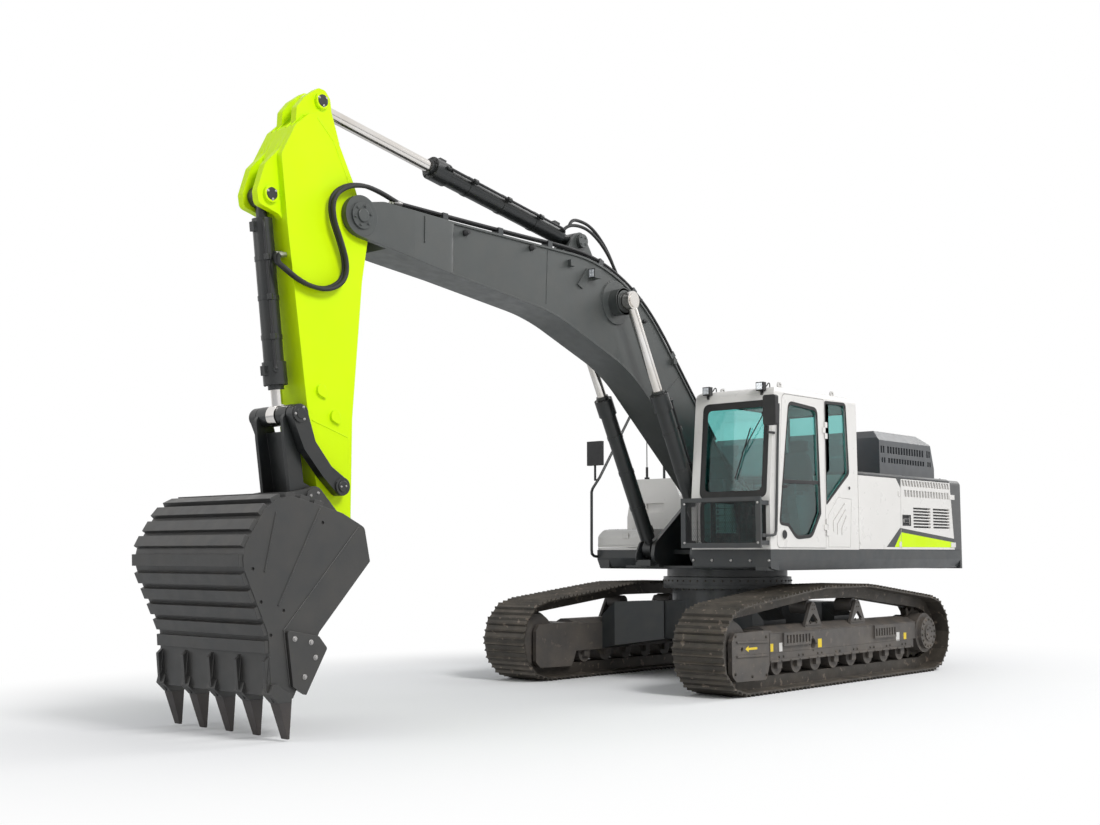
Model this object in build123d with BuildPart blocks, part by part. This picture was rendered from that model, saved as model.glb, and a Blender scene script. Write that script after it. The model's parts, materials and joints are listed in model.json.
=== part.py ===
from build123d import *
from math import cos
import os

# Crawler excavator of the 33 t class, full size, in millimetres.
# +X points forward along the boom, +Y to the left (the cab's side), +Z up, and z = 0 is the ground.
# Outlines are drawn in machine coordinates, whose x = 0 is the swing axis. Every plane below starts
# at SWING_X, so the finished pieces have their origin under the middle of the whole machine.

# ---------------------------------------------------------------- driving dimensions
FRONT_X, REAR_X = 7401, -3420          # back of the bucket, back of the counterweight
SWING_X = -(FRONT_X + REAR_X) / 2      # the swing axis in the finished frame
HALF_BODY = 1490                       # half width of the upper body
SKIN = 40                              # thickness of doors and covers
SEAM = 6                               # gap between two panels

# pins, as (x, z) in machine coordinates
BOOM_FOOT = (150, 1990)
BOOM_NOSE = (5880, 4300)
BOOM_RAM_BASE = (960, 1450)
BOOM_RAM_EYE = (2310, 4045)
ARM_RAM_BASE = (2780, 4640)
ARM_RAM_EYE = (6245, 5250)
BUCKET_RAM_BASE = (6755, 4335)
LINK_TOP = (6525, 2534)                # bucket ram's eye, rocker and bucket link meet here
ROCKER_PIN = (6075, 1957)
LINK_PIN = (6345, 1845)                # bucket link on the bucket
BUCKET_PIN = (6000, 1480)
FIT = 0.1                              # radial clearance of a turning pin

# undercarriage
GAUGE_Y = 1295                         # middle of the left track
SHOE_WIDTH = 600
TUMBLER_X, TUMBLER_Z = 2020, 452       # idler and sprocket centres
IDLER, DRIVE = (TUMBLER_X, TUMBLER_Z), (-TUMBLER_X, TUMBLER_Z)
GROUSER = 26
SHOE_PLATE = 14
CHAIN_DEPTH = 116
RAIL_Y, RAIL_HALF = 82, 23             # chain rails beside the belt's middle
LINKS, LINK_PITCH = 48, 225
PATH_RADIUS = TUMBLER_Z - GROUSER      # outer face of the shoe plates round the end wheels
TREAD_RADIUS = PATH_RADIUS * cos(LINK_PITCH / PATH_RADIUS / 2) - SHOE_PLATE - CHAIN_DEPTH
CARRIER_X = (480, -490)
CARRIER_CREST = 1042                   # outer face of the shoe plates over the carrier rollers
CARRIER_BEND = 300                     # bend of the track over a carrier roller
CARRIER_Z, CARRIER_RADIUS = 828, 74
ROLLER_RADIUS = 107
ROLLER_Z = 157 + ROLLER_RADIUS
ROLLER_X = [-1480 + 385 * n for n in range(8)]
FRAME_INNER, FRAME_OUTER = 1110, 1480  # track frame's two side faces
BOX_REAR, BOX_FRONT = -1780, 1430      # main box of the track frame
SKIRT = 20                             # plate that carries the lower rollers
CHEEK = 50                             # side plate of the idler guard
RING_RADIUS = 745
RING_SPLIT = (1135, 1140)              # top of the fixed ring, bottom of the turning ring

# upper body
DECK_BOTTOM, DECK_TOP = 1240, 1445
DECK_PLATE = 50
SILL_OUTER, SILL_INNER = 1488, 1300
SILL_REAR = -3067                      # the sills run on under the counterweight's corners
BODY_TOP = 2335
ROOF_SHEET = 40
PANEL_TOP = BODY_TOP - ROOF_SHEET - SEAM
CAB_FRONT, CAB_REAR = 1407, -439
CAB_RIGHT, CAB_LEFT = 505, 1494
CAB_TOP = 3147
CAB_WALL = 50
CAB_LEAN = (2000, 112)                 # the front stands upright to this z, then leans back this much
CAB_FLOOR = DECK_TOP + 40
CAB_DOOR_HINGE = (280, 1502)           # (x, y)
CAB_HINGE_Z = (1686, 2748)
SIDE_SPLIT = (-450, -1465, -2905)      # seams of the side panels
FRONT_DOOR_HINGE, REAR_DOOR_HINGE = -1450, -2905
DOOR_HINGE_Y = 1496
DOOR_HINGE_Z = (1510, 2110)
KNUCKLE = 8                            # radius of a hinge's round barrel
KNUCKLE_HALF = 30
COUNTERWEIGHT_X = -2912
COUNTERWEIGHT_HALF = 1482

HOOD_X, HOOD_HALF, HOOD_TOP = (-1450, -2900), 1240, 2885
HOOD_HINGE = (-1445, 2345)             # (x, z)
TOOLBOX_SPLIT = 1475
TOOLBOX_HINGE = (14, 1694)             # (x, z)
TANK_FRONT, TANK_REAR = 0, -810
# cab windows, as y low, y high, z low, z high; the roof window as x, x, y, y
WINDSCREEN = (640, 1426, 2015, 2975)
LOWER_SCREEN = (640, 1426, 1505, 1950)
REAR_WINDOW = (600, 1400, 2300, 3000)
ROOF_WINDOW = (350, 1050, 650, 1350)
RIGHT_WINDOW = [(1240, 1950), (1240, 3040, 60), (-330, 3040, 60), (-330, 2300, 60), (300, 1950)]
# lifting eyes on the cab's roof, as (x, y)
CAB_EYES = ((1023, 1390), (-76, 1390), (940, 610), (-204, 610))
CAB_EYE_Z, CAB_EYE_RADIUS, CAB_EYE_BORE, CAB_EYE_HALF = 3187, 36, 20, 9

# working gear, half widths
BOOM_HALF, BOOM_WEB, FLANGE = 205, 190, 20    # edge of the flanges, face of the side plates, thickness
FORK_GAP, FORK_HALF = 202, 262
FOOT_HALF, FOOT_PIN, NOSE_PIN = 240, 60, 62
BRACKET_INNER, BRACKET_OUTER = 246, 292       # brackets of the boom's foot
RAM_PLATE = (480, 500)                        # outer plates of the boom rams' base
ARM_HALF = 195
BOOM_RAM_Y = 385
EAR = (62, 132)                               # ears of the arm
CAP_RADIUS, CAP_END = 71, 162                 # pin caps outside the ears
EYE_HALF = 54                                 # half width of every ram's eye
NECK_RADIUS = 46
GLAND = 90                                    # closed end of a barrel round its rod
# rams, as radii of pin, rod, bore and tube
BOOM_RAM = (48, 52, 70, 85)
ARM_RAM = (48, 57, 80, 95)
BUCKET_RAM = (45, 48, 70, 84)
ROCKER = (205, 288)
LINK_PLATE = (160, 195)
BUCKET_HALF = 725
BUCKET_PLATE = 32
BUCKET_EAR = (203, 262)
STRIPS, STRIP_WIDTH, STRIP_RISE = 13, 92, 35  # wear strips across the bucket's back
TOOTH_PITCH = 353
TOOTH_ROOT, TOOTH_TIP = 290, 17               # heights
CUTTER = 32                                   # thickness of the side cutters

# rows of x, z and corner radius
BOOM_OUTLINE = [(6051, 4380, 120), (5619, 4476, 200), (2126, 4457, 2000), (-10, 2120, 40), (60, 1870, 60),
                (300, 1830, 60), (2080, 3340, 1800), (3300, 3800, 2500), (5950, 4125, 120)]
ARM_OUTLINE = [(5868, 4460, 60), (5930, 4600, 60), (6100, 4916, 120), (6335, 5093, 60), (6406, 5098, 40),
               (6557, 4957, 60), (6695, 4680, 40), (6617, 4091, 300), (6364, 2503, 300), (6299, 2093),
               (6236, 1815), (6120, 1450, 60), (5900, 1400, 60), (5899, 2538), (5811, 3747, 300),
               (5740, 4200, 60)]
ARM_RAM_EAR = [(6033, 4921), (6127, 5182, 60), (6144, 5290, 40), (6200, 5356, 50), (6275, 5361, 50),
               (6416, 5249, 60), (6500, 5140, 40), (6508, 4983)]
BUCKET_RAM_EAR = [(6628, 4783, 30), (6811, 4583, 60), (6884, 4345, 60), (6865, 4240, 50), (6762, 4215, 40),
                  (6667, 4188, 40), (6583, 4113), (6560, 4400)]
BUCKET_OUTLINE = [(6138, 1339), (6200, 1610, 60), (6430, 1720, 200), (7090, 1880, 330), (7400, 1380, 260),
                  (7120, 800, 300), (7085, 345), (6882, 313), (6640, 800)]
MOUTH = [(6060, 1300), (6540, 760), (6840, 280), (7045, 300), (7045, 420), (6960, 760), (6700, 1150),
         (6300, 1345)]
SIDE_CUTTER = [(6972, 827, 20), (6668, 770, 20), (6585, 676, 20), (6783, 332, 10), (6907, 402, 10)]


# ---------------------------------------------------------------- planes and repeated forms
def side_plane(y):
    """Upright plane at this y. Its local axes are X and Z, and it faces -Y."""
    return Plane(origin=(SWING_X, y, 0), x_dir=(1, 0, 0), z_dir=(0, -1, 0))


def front_plane(x):
    """Upright plane at this x. Its local axes are Y and Z, and it faces +X."""
    return Plane(origin=(SWING_X + x, 0, 0), x_dir=(0, 1, 0), z_dir=(1, 0, 0))


def level_plane(z):
    """Level plane at this height. Its local axes are X and Y."""
    return Plane(origin=(SWING_X, 0, z))


def outline(corners):
    """Closed line from rows of x, z and corner radius. A row without a radius is a sharp corner."""
    points = [corner[:2] for corner in corners]
    radii = [(*corner, 0)[2] for corner in corners]
    if any(radii):
        FilletPolyline(*points, radius=radii, close=True)
    else:
        Polyline(*points, close=True)


def both(low, high):
    """The same span of y on the left and on the right."""
    return (low, high), (-high, -low)


def slab(corners, y_low, y_high, mode=Mode.ADD):
    """A plate between two y values, from its (x, z) or (x, z, radius) corners."""
    with BuildSketch(side_plane(y_high)) as face:
        with BuildLine():
            outline(corners)
        make_face()
    extrude(face.sketch, amount=y_high - y_low, mode=mode)


def frontal(corners, x_low, x_high, mode=Mode.ADD):
    """A form between two x values, from its (y, z) or (y, z, radius) corners."""
    with BuildSketch(front_plane(x_low)) as face:
        with BuildLine():
            outline(corners)
        make_face()
    extrude(face.sketch, amount=x_high - x_low, mode=mode)


def plan(corners, z_low, z_high, mode=Mode.ADD):
    """A form between two heights, from its (x, y) or (x, y, radius) corners."""
    with BuildSketch(level_plane(z_low)) as face:
        with BuildLine():
            outline(corners)
        make_face()
    extrude(face.sketch, amount=z_high - z_low, mode=mode)


def wrapped(rounds, y_low, y_high, mode=Mode.ADD):
    """A plate wrapped tightly round circles, each given as (x, z, radius)."""
    with BuildSketch(side_plane(y_high)) as face:
        for x, z, radius in rounds:
            with Locations((x, z)):
                Circle(radius)
        make_hull()
    extrude(face.sketch, amount=y_high - y_low, mode=mode)


def round_bar(pin, radius, y_low, y_high, mode=Mode.ADD):
    """A round bar, boss or bore along Y through an (x, z) point."""
    with BuildSketch(side_plane(y_high)) as face:
        with Locations(pin):
            Circle(radius)
    extrude(face.sketch, amount=y_high - y_low, mode=mode)


def upright(spot, radius, z_low, z_high, mode=Mode.ADD):
    """A round post or disc along Z at an (x, y) spot."""
    with BuildSketch(level_plane(z_low)) as face:
        with Locations(spot):
            Circle(radius)
    extrude(face.sketch, amount=z_high - z_low, mode=mode)


def block(x_low, x_high, y_low, y_high, z_low, z_high, mode=Mode.ADD):
    """A square-edged block between two corners."""
    with BuildSketch(level_plane(z_low)) as face:
        with Locations(((x_low + x_high) / 2, (y_low + y_high) / 2)):
            Rectangle(x_high - x_low, y_high - y_low)
    extrude(face.sketch, amount=z_high - z_low, mode=mode)


def slots(corners, places, y_low, y_high):
    """The same opening cut along Y at several (x, z) places."""
    with BuildSketch(side_plane(y_high)) as cuts:
        for x, z in places:
            with BuildLine():
                Polyline(*[(x + dx, z + dz) for dx, dz in corners], close=True)
            make_face()
    extrude(cuts.sketch, amount=y_high - y_low, mode=Mode.SUBTRACT)


def louvres(x_low, x_high, z_low, z_high, count, lean, y_low, y_high):
    """A row of leaning slots between bars, cut along Y. Slots take up most of the pitch."""
    pitch = (x_high - x_low) / count
    width = 0.62 * pitch
    shape = ((0, z_low), (width, z_low), (width + lean, z_high), (lean, z_high))
    slots(shape, [(x_low + pitch * n, 0) for n in range(count)], y_low, y_high)


def pipe(points, radius):
    """A round bar through (x, y, z) points, mitred at its bends."""
    with BuildLine() as line:
        Polyline(*[(SWING_X + x, y, z) for x, y, z in points])
    with BuildSketch(Plane(line.line @ 0, z_dir=line.line % 0)) as section:
        Circle(radius)
    sweep(section.sketch, path=line.line, transition=Transition.RIGHT)


def along(start, end, y, distance=0):
    """Plane square to the line between two pins, this far from the first, facing the second."""
    direction = Vector(end[0] - start[0], 0, end[1] - start[1]).normalized()
    origin = Vector(SWING_X + start[0], y, start[1]) + direction * distance
    return Plane(origin=origin, x_dir=(0, 1, 0), z_dir=direction)


def length_between(start, end):
    """Distance between two (x, z) pins."""
    return Vector(end[0] - start[0], end[1] - start[1]).length


def tube(start, end, y, radius, near, far, mode=Mode.ADD):
    """A round bar on the line between two pins, from one distance to another."""
    with BuildSketch(along(start, end, y, near)) as face:
        Circle(radius)
    extrude(face.sketch, amount=far - near, mode=mode)


def port(base, eye, y, spot, size, near, far):
    """A hose port: a square block on a barrel, standing off its axis by this (y, rise)."""
    with BuildSketch(along(base, eye, y, near)) as face:
        with Locations(spot):
            Rectangle(size, size)
    extrude(face.sketch, amount=far - near)


def ram_barrel(base, eye, y, size, reach, shoulder=140):
    """A cylinder barrel: eye at its base pin, neck, tube, and a thicker gland at the mouth."""
    pin, rod, bore, outer = size
    round_bar(base, 2 * pin, y - EYE_HALF, y + EYE_HALF)
    tube(base, eye, y, NECK_RADIUS, 0, shoulder)
    tube(base, eye, y, outer, shoulder, reach - 230)
    tube(base, eye, y, outer + 16, reach - 230, reach - 40)
    tube(base, eye, y, outer - 18, reach - 40, reach)
    port(base, eye, y, (0, outer), 56, shoulder + 30, shoulder + 110)
    port(base, eye, y, (0, outer + 10), 56, reach - 200, reach - 120)
    tube(base, eye, y, bore, shoulder + 40, reach - GLAND, mode=Mode.SUBTRACT)
    tube(base, eye, y, rod + FIT, reach - GLAND, reach, mode=Mode.SUBTRACT)
    round_bar(base, pin + FIT, y - EYE_HALF, y + EYE_HALF, mode=Mode.SUBTRACT)


def ram_rod(base, eye, y, size, start, piston=90):
    """A piston rod with its piston and eye. The eye carries its own short pin."""
    pin, rod, bore, _ = size
    tube(base, eye, y, rod, start, length_between(base, eye))
    tube(base, eye, y, bore - FIT, start, start + piston)
    round_bar(eye, 2 * pin, y - EYE_HALF, y + EYE_HALF)


# ---------------------------------------------------------------- undercarriage
with BuildPart() as carbody:
    # drum under the swing bearing, with its bolting flange
    upright((0, 0), 640, 430, 1050)
    upright((0, 0), RING_RADIUS, 1005, 1050)
    block(-620, 620, -560, 560, 430, 860)
    # one leg of the X, then its three mirror images. Rows: y, x low, x high, z low, z high
    LEG = ((450, 150, 640, 420, 860), (950, 520, 930, 340, 845), (FRAME_INNER, 520, 960, 300, 690))
    for y, x_low, x_high, z_low, z_high in LEG:
        with BuildSketch(side_plane(y)):
            with Locations(((x_low + x_high) / 2, (z_low + z_high) / 2)):
                Rectangle(x_high - x_low, z_high - z_low)
    loft(ruled=True)
    mirror(about=Plane.XZ)
    mirror(about=Plane.YZ.offset(SWING_X))
carbody.part.label = "carbody"

with BuildPart() as swing_bearing:
    upright((0, 0), RING_RADIUS, 1050, RING_SPLIT[0])
swing_bearing.part.label = "swing_bearing"

# the belt's path: outer face of the shoe plates, shared out into equal links
with BuildSketch() as belt:
    with Locations(IDLER, DRIVE):
        Circle(PATH_RADIUS)
    with Locations(*[(x, CARRIER_CREST - CARRIER_BEND) for x in CARRIER_X]):
        Circle(CARRIER_BEND)
    make_hull()
path = belt.sketch.faces()[0].outer_wire()
JOINTS = [path @ (n / LINKS) for n in range(LINKS)]
# one shoe with three grousers, as shares of its length and of the grousers' height
SHOE = ((0.00, 0), (0.08, 1), (0.16, 0), (0.36, 0), (0.44, 1), (0.52, 0), (0.72, 0), (0.80, 1), (0.88, 0))
shoe_edge = []
for n, joint in enumerate(JOINTS):
    step = JOINTS[(n + 1) % LINKS] - joint
    outward = Vector(step.Y, -step.X).normalized() * GROUSER
    shoe_edge += [joint + step * share + outward * rise for share, rise in SHOE]
with BuildSketch() as shoe_face:
    with BuildLine():
        Polyline(*shoe_edge, close=True)
    make_face()
with BuildSketch() as shoe_bed:
    with BuildLine():
        Polyline(*JOINTS, close=True)
    make_face()
    offset(amount=-SHOE_PLATE, kind=Kind.INTERSECTION, mode=Mode.REPLACE)
with BuildSketch() as hollow:
    offset(shoe_bed.sketch, amount=-CHAIN_DEPTH, kind=Kind.INTERSECTION)

with BuildPart() as track_left:
    with BuildSketch(side_plane(GAUGE_Y + SHOE_WIDTH / 2)):
        add(shoe_face.sketch)
        add(shoe_bed.sketch, mode=Mode.SUBTRACT)
    extrude(amount=SHOE_WIDTH)
    # the two rails of the link chain under the shoes
    for middle in (GAUGE_Y - RAIL_Y, GAUGE_Y + RAIL_Y):
        with BuildSketch(side_plane(middle + RAIL_HALF)):
            add(shoe_bed.sketch)
            add(hollow.sketch, mode=Mode.SUBTRACT)
        extrude(amount=2 * RAIL_HALF)
track_left.part.label = "track_left"

with BuildPart() as track_right:
    mirror(track_left.part, about=Plane.XZ)
track_right.part.label = "track_right"

with BuildPart() as track_frame_left:
    # main box, sloped on top so that dirt falls off
    frontal([(FRAME_INNER, 395), (FRAME_OUTER, 395), (FRAME_OUTER, 590), (1350, 655), (1240, 655),
             (FRAME_INNER, 600)], BOX_REAR, BOX_FRONT)
    # brackets of the two carrier rollers
    for x in CARRIER_X:
        wrapped([(x, CARRIER_Z, 55), (x - 145, 630, 25), (x + 145, 630, 25)], 1392, 1430)
        wrapped([(x, 738, 20), (x - 75, 679, 14), (x + 75, 679, 14)], 1390, 1432, mode=Mode.SUBTRACT)
    # skirts that carry the lower rollers' axles, and the ledge along the outer one
    for y in (FRAME_INNER, FRAME_OUTER - SKIRT):
        block(-1720, BOX_FRONT, y, y + SKIRT, 297, 395)
    block(-1650, BOX_FRONT, FRAME_OUTER, FRAME_OUTER + 14, 297, 316)
    # idler guard: two cheeks beside the idler, closed behind it
    for y in (FRAME_INNER, FRAME_OUTER - CHEEK):
        slab([(BOX_FRONT, 297), (BOX_FRONT, 600), (1480, 624), (2070, 616, 40), (2116, 540, 40),
              (2116, 200, 60), (2040, 140, 40), (1500, 129, 60)], y, y + CHEEK)
    block(1400, 1680, FRAME_INNER, FRAME_OUTER, 560, 620)
    block(1380, 1450, FRAME_INNER, FRAME_OUTER, 395, 600)
    for front, rear in ((529, 509), (388, 377)):
        slab([(2040, front - 9), (2040, front + 9), (1471, rear + 9), (1471, rear - 9)],
             FRAME_OUTER, FRAME_OUTER + 14)
    round_bar((1939, 454), 22, FRAME_OUTER - 30, FRAME_OUTER, mode=Mode.SUBTRACT)
    # access hole of the track's tensioner, and the two step pads
    round_bar((581, 450), 55, FRAME_OUTER - 60, FRAME_OUTER, mode=Mode.SUBTRACT)
    for rear, front, low, high in ((657, 1193, 450, 588), (-1254, -743, 440, 588)):
        slab([(rear, low), (front, low), (front, high), (rear, high)], FRAME_OUTER, FRAME_OUTER + 26)
        slots(((0, 0), (34, 0), (34, 84), (0, 84)), [(x, low + 26) for x in range(rear + 22, front - 50, 62)],
              FRAME_OUTER + 8, FRAME_OUTER + 26)
    # room for the sprocket, then the arm that holds the final drive
    round_bar(DRIVE, 375, 1225, 1365, mode=Mode.SUBTRACT)
    wrapped([(BOX_REAR + 35, 505, 80), (*DRIVE, 205)], FRAME_INNER, FRAME_INNER + 90)
track_frame_left.part.label = "track_frame_left"

with BuildPart() as track_frame_right:
    mirror(track_frame_left.part, about=Plane.XZ)
track_frame_right.part.label = "track_frame_right"

with BuildPart() as idlers:
    round_bar(IDLER, TREAD_RADIUS - 1, GAUGE_Y - 108, GAUGE_Y + 108)
    round_bar(IDLER, TREAD_RADIUS + 30, GAUGE_Y - 50, GAUGE_Y + 50)
    round_bar(IDLER, 75, FRAME_INNER + CHEEK, FRAME_OUTER - CHEEK)
    mirror(about=Plane.XZ)
idlers.part.label = "idlers"

with BuildPart() as sprockets:
    with BuildSketch(side_plane(GAUGE_Y + 38)):
        with Locations(DRIVE):
            Circle(TREAD_RADIUS - 8)
            with PolarLocations(TREAD_RADIUS + 12, 12):
                Trapezoid(84, 92, 75, rotation=-90)
    extrude(amount=76)
    mirror(about=Plane.XZ)
sprockets.part.label = "sprockets"

with BuildPart() as final_drives:
    round_bar(DRIVE, 235, GAUGE_Y + 38, FRAME_OUTER)
    round_bar(DRIVE, 190, FRAME_OUTER, 1530)
    round_bar(DRIVE, 95, 1530, 1545)
    round_bar(DRIVE, 175, FRAME_INNER + 90, GAUGE_Y - 38)
    mirror(about=Plane.XZ)
final_drives.part.label = "final_drives"

with BuildPart() as lower_rollers:
    for x in ROLLER_X:
        round_bar((x, ROLLER_Z), ROLLER_RADIUS, GAUGE_Y - 125, GAUGE_Y + 125)
        block(x - 45, x + 45, FRAME_INNER + SKIRT, FRAME_OUTER - SKIRT, 225, 340)
    mirror(about=Plane.XZ)
lower_rollers.part.label = "lower_rollers"

with BuildPart() as carrier_rollers:
    for x in CARRIER_X:
        round_bar((x, CARRIER_Z), CARRIER_RADIUS, GAUGE_Y - 125, GAUGE_Y + 80)
        round_bar((x, CARRIER_Z), 42, GAUGE_Y + 80, 1392)
    mirror(about=Plane.XZ)
carrier_rollers.part.label = "carrier_rollers"

# ---------------------------------------------------------------- upper structure
with BuildPart() as platform:
    # deck plate over the whole upper body, with the gap for the boom between its two noses
    plan([(1396, SILL_OUTER), (1396, 505), (700, 505), (700, -500), (590, -500), (590, -SILL_OUTER + 14),
          (COUNTERWEIGHT_X, -SILL_OUTER + 14), (COUNTERWEIGHT_X, SILL_OUTER)],
         DECK_TOP - DECK_PLATE, DECK_TOP)
    # bevelled sills along both sides
    for side, front in ((1, 1396), (-1, 590)):
        frontal([(side * SILL_OUTER, DECK_TOP), (side * SILL_OUTER, 1334), (side * 1440, 1226),
                 (side * SILL_INNER, 1226), (side * SILL_INNER, DECK_TOP)], SILL_REAR, front)
    # front beams under the cab and under the toolbox
    slab([(1240, 1226), (1396, 1250, 30), (1404, 1440), (1240, 1440)], 505, SILL_OUTER - 3)
    slab([(440, 1222), (560, 1222, 40), (597, 1350, 30), (597, 1440), (440, 1440)], -1470, -505)
    # turning ring, its plate and the two main beams
    upright((0, 0), 700, RING_SPLIT[1], DECK_BOTTOM)
    block(-900, 900, -800, 800, DECK_BOTTOM, 1265)
    for low, high in both(246, 296):
        block(COUNTERWEIGHT_X, 1000, low, high, 1250, DECK_TOP - DECK_PLATE)
    # brackets for the boom's foot and the boom rams
    for side in (0, 1):
        wrapped([(*BOOM_FOOT, 165), (*BOOM_RAM_BASE, 115), (-1000, 1440, 60), (990, 1385, 100)],
                *both(BRACKET_INNER, BRACKET_OUTER)[side])
        wrapped([(*BOOM_RAM_BASE, 105), (900, 1360, 105), (1010, 1360, 105)], *both(*RAM_PLATE)[side])
        round_bar(BOOM_RAM_BASE, BOOM_RAM[0], *both(BRACKET_OUTER, RAM_PLATE[0])[side])
        block(860, 1100, *both(BRACKET_OUTER, RAM_PLATE[1])[side], 1262, 1330)
        round_bar(BOOM_FOOT, 88, *both(BRACKET_OUTER, BRACKET_OUTER + 22)[side])
    round_bar(BOOM_FOOT, FOOT_PIN, -BRACKET_OUTER, BRACKET_OUTER)
platform.part.label = "platform"

with BuildPart() as counterweight:
    with BuildSketch(level_plane(1215)):
        with BuildLine():
            Polyline((-3120, COUNTERWEIGHT_HALF), (-2800, COUNTERWEIGHT_HALF),
                     (-2800, -COUNTERWEIGHT_HALF), (-3120, -COUNTERWEIGHT_HALF))
            ThreePointArc((-3120, -COUNTERWEIGHT_HALF), (REAR_X, 0), (-3120, COUNTERWEIGHT_HALF))
        make_face()
    extrude(amount=BODY_TOP - 1215)
    # leaning front edge, shoulder and leaning back face
    slab([(COUNTERWEIGHT_X, 1215), (COUNTERWEIGHT_X, 1445), (-2808, BODY_TOP), (-3180, BODY_TOP, 150),
          (REAR_X - 10, 1980, 300), (REAR_X - 10, 1450, 200), (-3330, 1215, 40)],
         -HALF_BODY, HALF_BODY, mode=Mode.INTERSECT)
    # shoulders along both sides, and room for the ends of the sills
    frontal([(-COUNTERWEIGHT_HALF, 1215), (-COUNTERWEIGHT_HALF, BODY_TOP - 8, 70), (-1300, BODY_TOP),
             (1300, BODY_TOP), (COUNTERWEIGHT_HALF, BODY_TOP - 8, 70), (COUNTERWEIGHT_HALF, 1215)],
            REAR_X - 10, -2700, mode=Mode.INTERSECT)
    for low, high in both(SILL_INNER - 4, HALF_BODY + 10):
        block(SILL_REAR - 4, -2700, low, high, 1200, DECK_TOP + 4, mode=Mode.SUBTRACT)
counterweight.part.label = "counterweight"

with BuildPart() as engine:
    block(-2750, -1900, -420, 520, DECK_TOP, 2180)
engine.part.label = "engine"

with BuildPart() as body_frame:
    # roof sheet and inner walls that the side doors close against
    front, seam, rear = SIDE_SPLIT
    frontal([(-1486, BODY_TOP - ROOF_SHEET), (-1486, BODY_TOP - 22), (-1450, BODY_TOP), (1450, BODY_TOP),
             (1486, BODY_TOP - 22), (1486, BODY_TOP - ROOF_SHEET)], -2800, front)
    block(HOOD_X[1] + 60, HOOD_X[0] - 60, -HOOD_HALF + 60, HOOD_HALF - 60, 2280, BODY_TOP + 10,
          mode=Mode.SUBTRACT)
    block(TANK_REAR - SEAM, front, -1488, -534, 2280, BODY_TOP + 10, mode=Mode.SUBTRACT)
    for x in (front - 30, seam - 15, -2800):
        block(x, x + 30, 560, 1434, DECK_TOP, BODY_TOP - ROOF_SHEET)
    for x in (seam - 15, -2800):
        block(x, x + 30, -1434, -560, DECK_TOP, BODY_TOP - ROOF_SHEET)
    # corner panel under the roof sheet, where the front door's edge leans forward
    slab([(-1482, 2190), (-1370, BODY_TOP - ROOF_SHEET), (-1370, BODY_TOP - 35), (-1482, BODY_TOP - 35)],
         HALF_BODY - SKIN, HALF_BODY - 4)
body_frame.part.label = "body_frame"


def knuckles(hinge_x, leaf_low, leaf_high, side):
    """Round hinge barrels on a side door's axis, each with a leaf on the door's face."""
    for z in DOOR_HINGE_Z:
        upright((hinge_x, side * DOOR_HINGE_Y), KNUCKLE, z - KNUCKLE_HALF, z + KNUCKLE_HALF)
        block(leaf_low, leaf_high, *sorted((side * HALF_BODY, side * (DOOR_HINGE_Y + 2))),
              z - KNUCKLE_HALF, z + KNUCKLE_HALF)


SIDE_FACE = (HALF_BODY - SKIN, HALF_BODY)
with BuildPart() as left_front_door:
    slab([(front - 5, DECK_TOP + SEAM), (front - 5, PANEL_TOP), (-1366, PANEL_TOP), (-1480, 2177),
          (-1455, DECK_TOP + SEAM)], *SIDE_FACE)
    knuckles(FRONT_DOOR_HINGE, FRONT_DOOR_HINGE, -1410, 1)
    # press catch at the front lower corner
    round_bar((-480, 1524), 18, HALF_BODY, HALF_BODY + 8)
left_front_door.part.label = "left_front_door"

REAR_DOOR = [(-2903, DECK_TOP + SEAM), (-1463, DECK_TOP + SEAM), (-1492, PANEL_TOP), (-2805, PANEL_TOP)]
with BuildPart() as left_rear_door:
    slab(REAR_DOOR, *SIDE_FACE)
    louvres(-2790, -1512, 2205, 2277, 17, 30, *SIDE_FACE)
    louvres(-2768, -1555, 2080, 2160, 16, 8, *SIDE_FACE)
    for low, high in ((-2251, -1793), (-2776, -2319)):
        slots(((0, 0), (high - low, 0), (high - low, 22), (0, 22)), [(low, z) for z in range(1711, 1970, 37)],
              *SIDE_FACE)
    # recessed latch
    block(-1710, -1523, HALF_BODY - 15, HALF_BODY, 1744, 1851, mode=Mode.SUBTRACT)
    block(-1680, -1560, HALF_BODY - 15, HALF_BODY - 3, 1770, 1815)
    knuckles(REAR_DOOR_HINGE, REAR_DOOR_HINGE, -2790, 1)
left_rear_door.part.label = "left_rear_door"

with BuildPart() as right_rear_door:
    slab([REAR_DOOR[0], REAR_DOOR[1], (REAR_DOOR[1][0], PANEL_TOP), REAR_DOOR[-1]], *both(*SIDE_FACE)[1])
    louvres(-2790, -1512, 2205, 2277, 17, 30, *both(*SIDE_FACE)[1])
    block(-1710, -1523, -HALF_BODY, -HALF_BODY + 15, 1744, 1851, mode=Mode.SUBTRACT)
    block(-1680, -1560, -HALF_BODY + 3, -HALF_BODY + 15, 1770, 1815)
    knuckles(REAR_DOOR_HINGE, REAR_DOOR_HINGE, -2790, -1)
right_rear_door.part.label = "right_rear_door"

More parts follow.
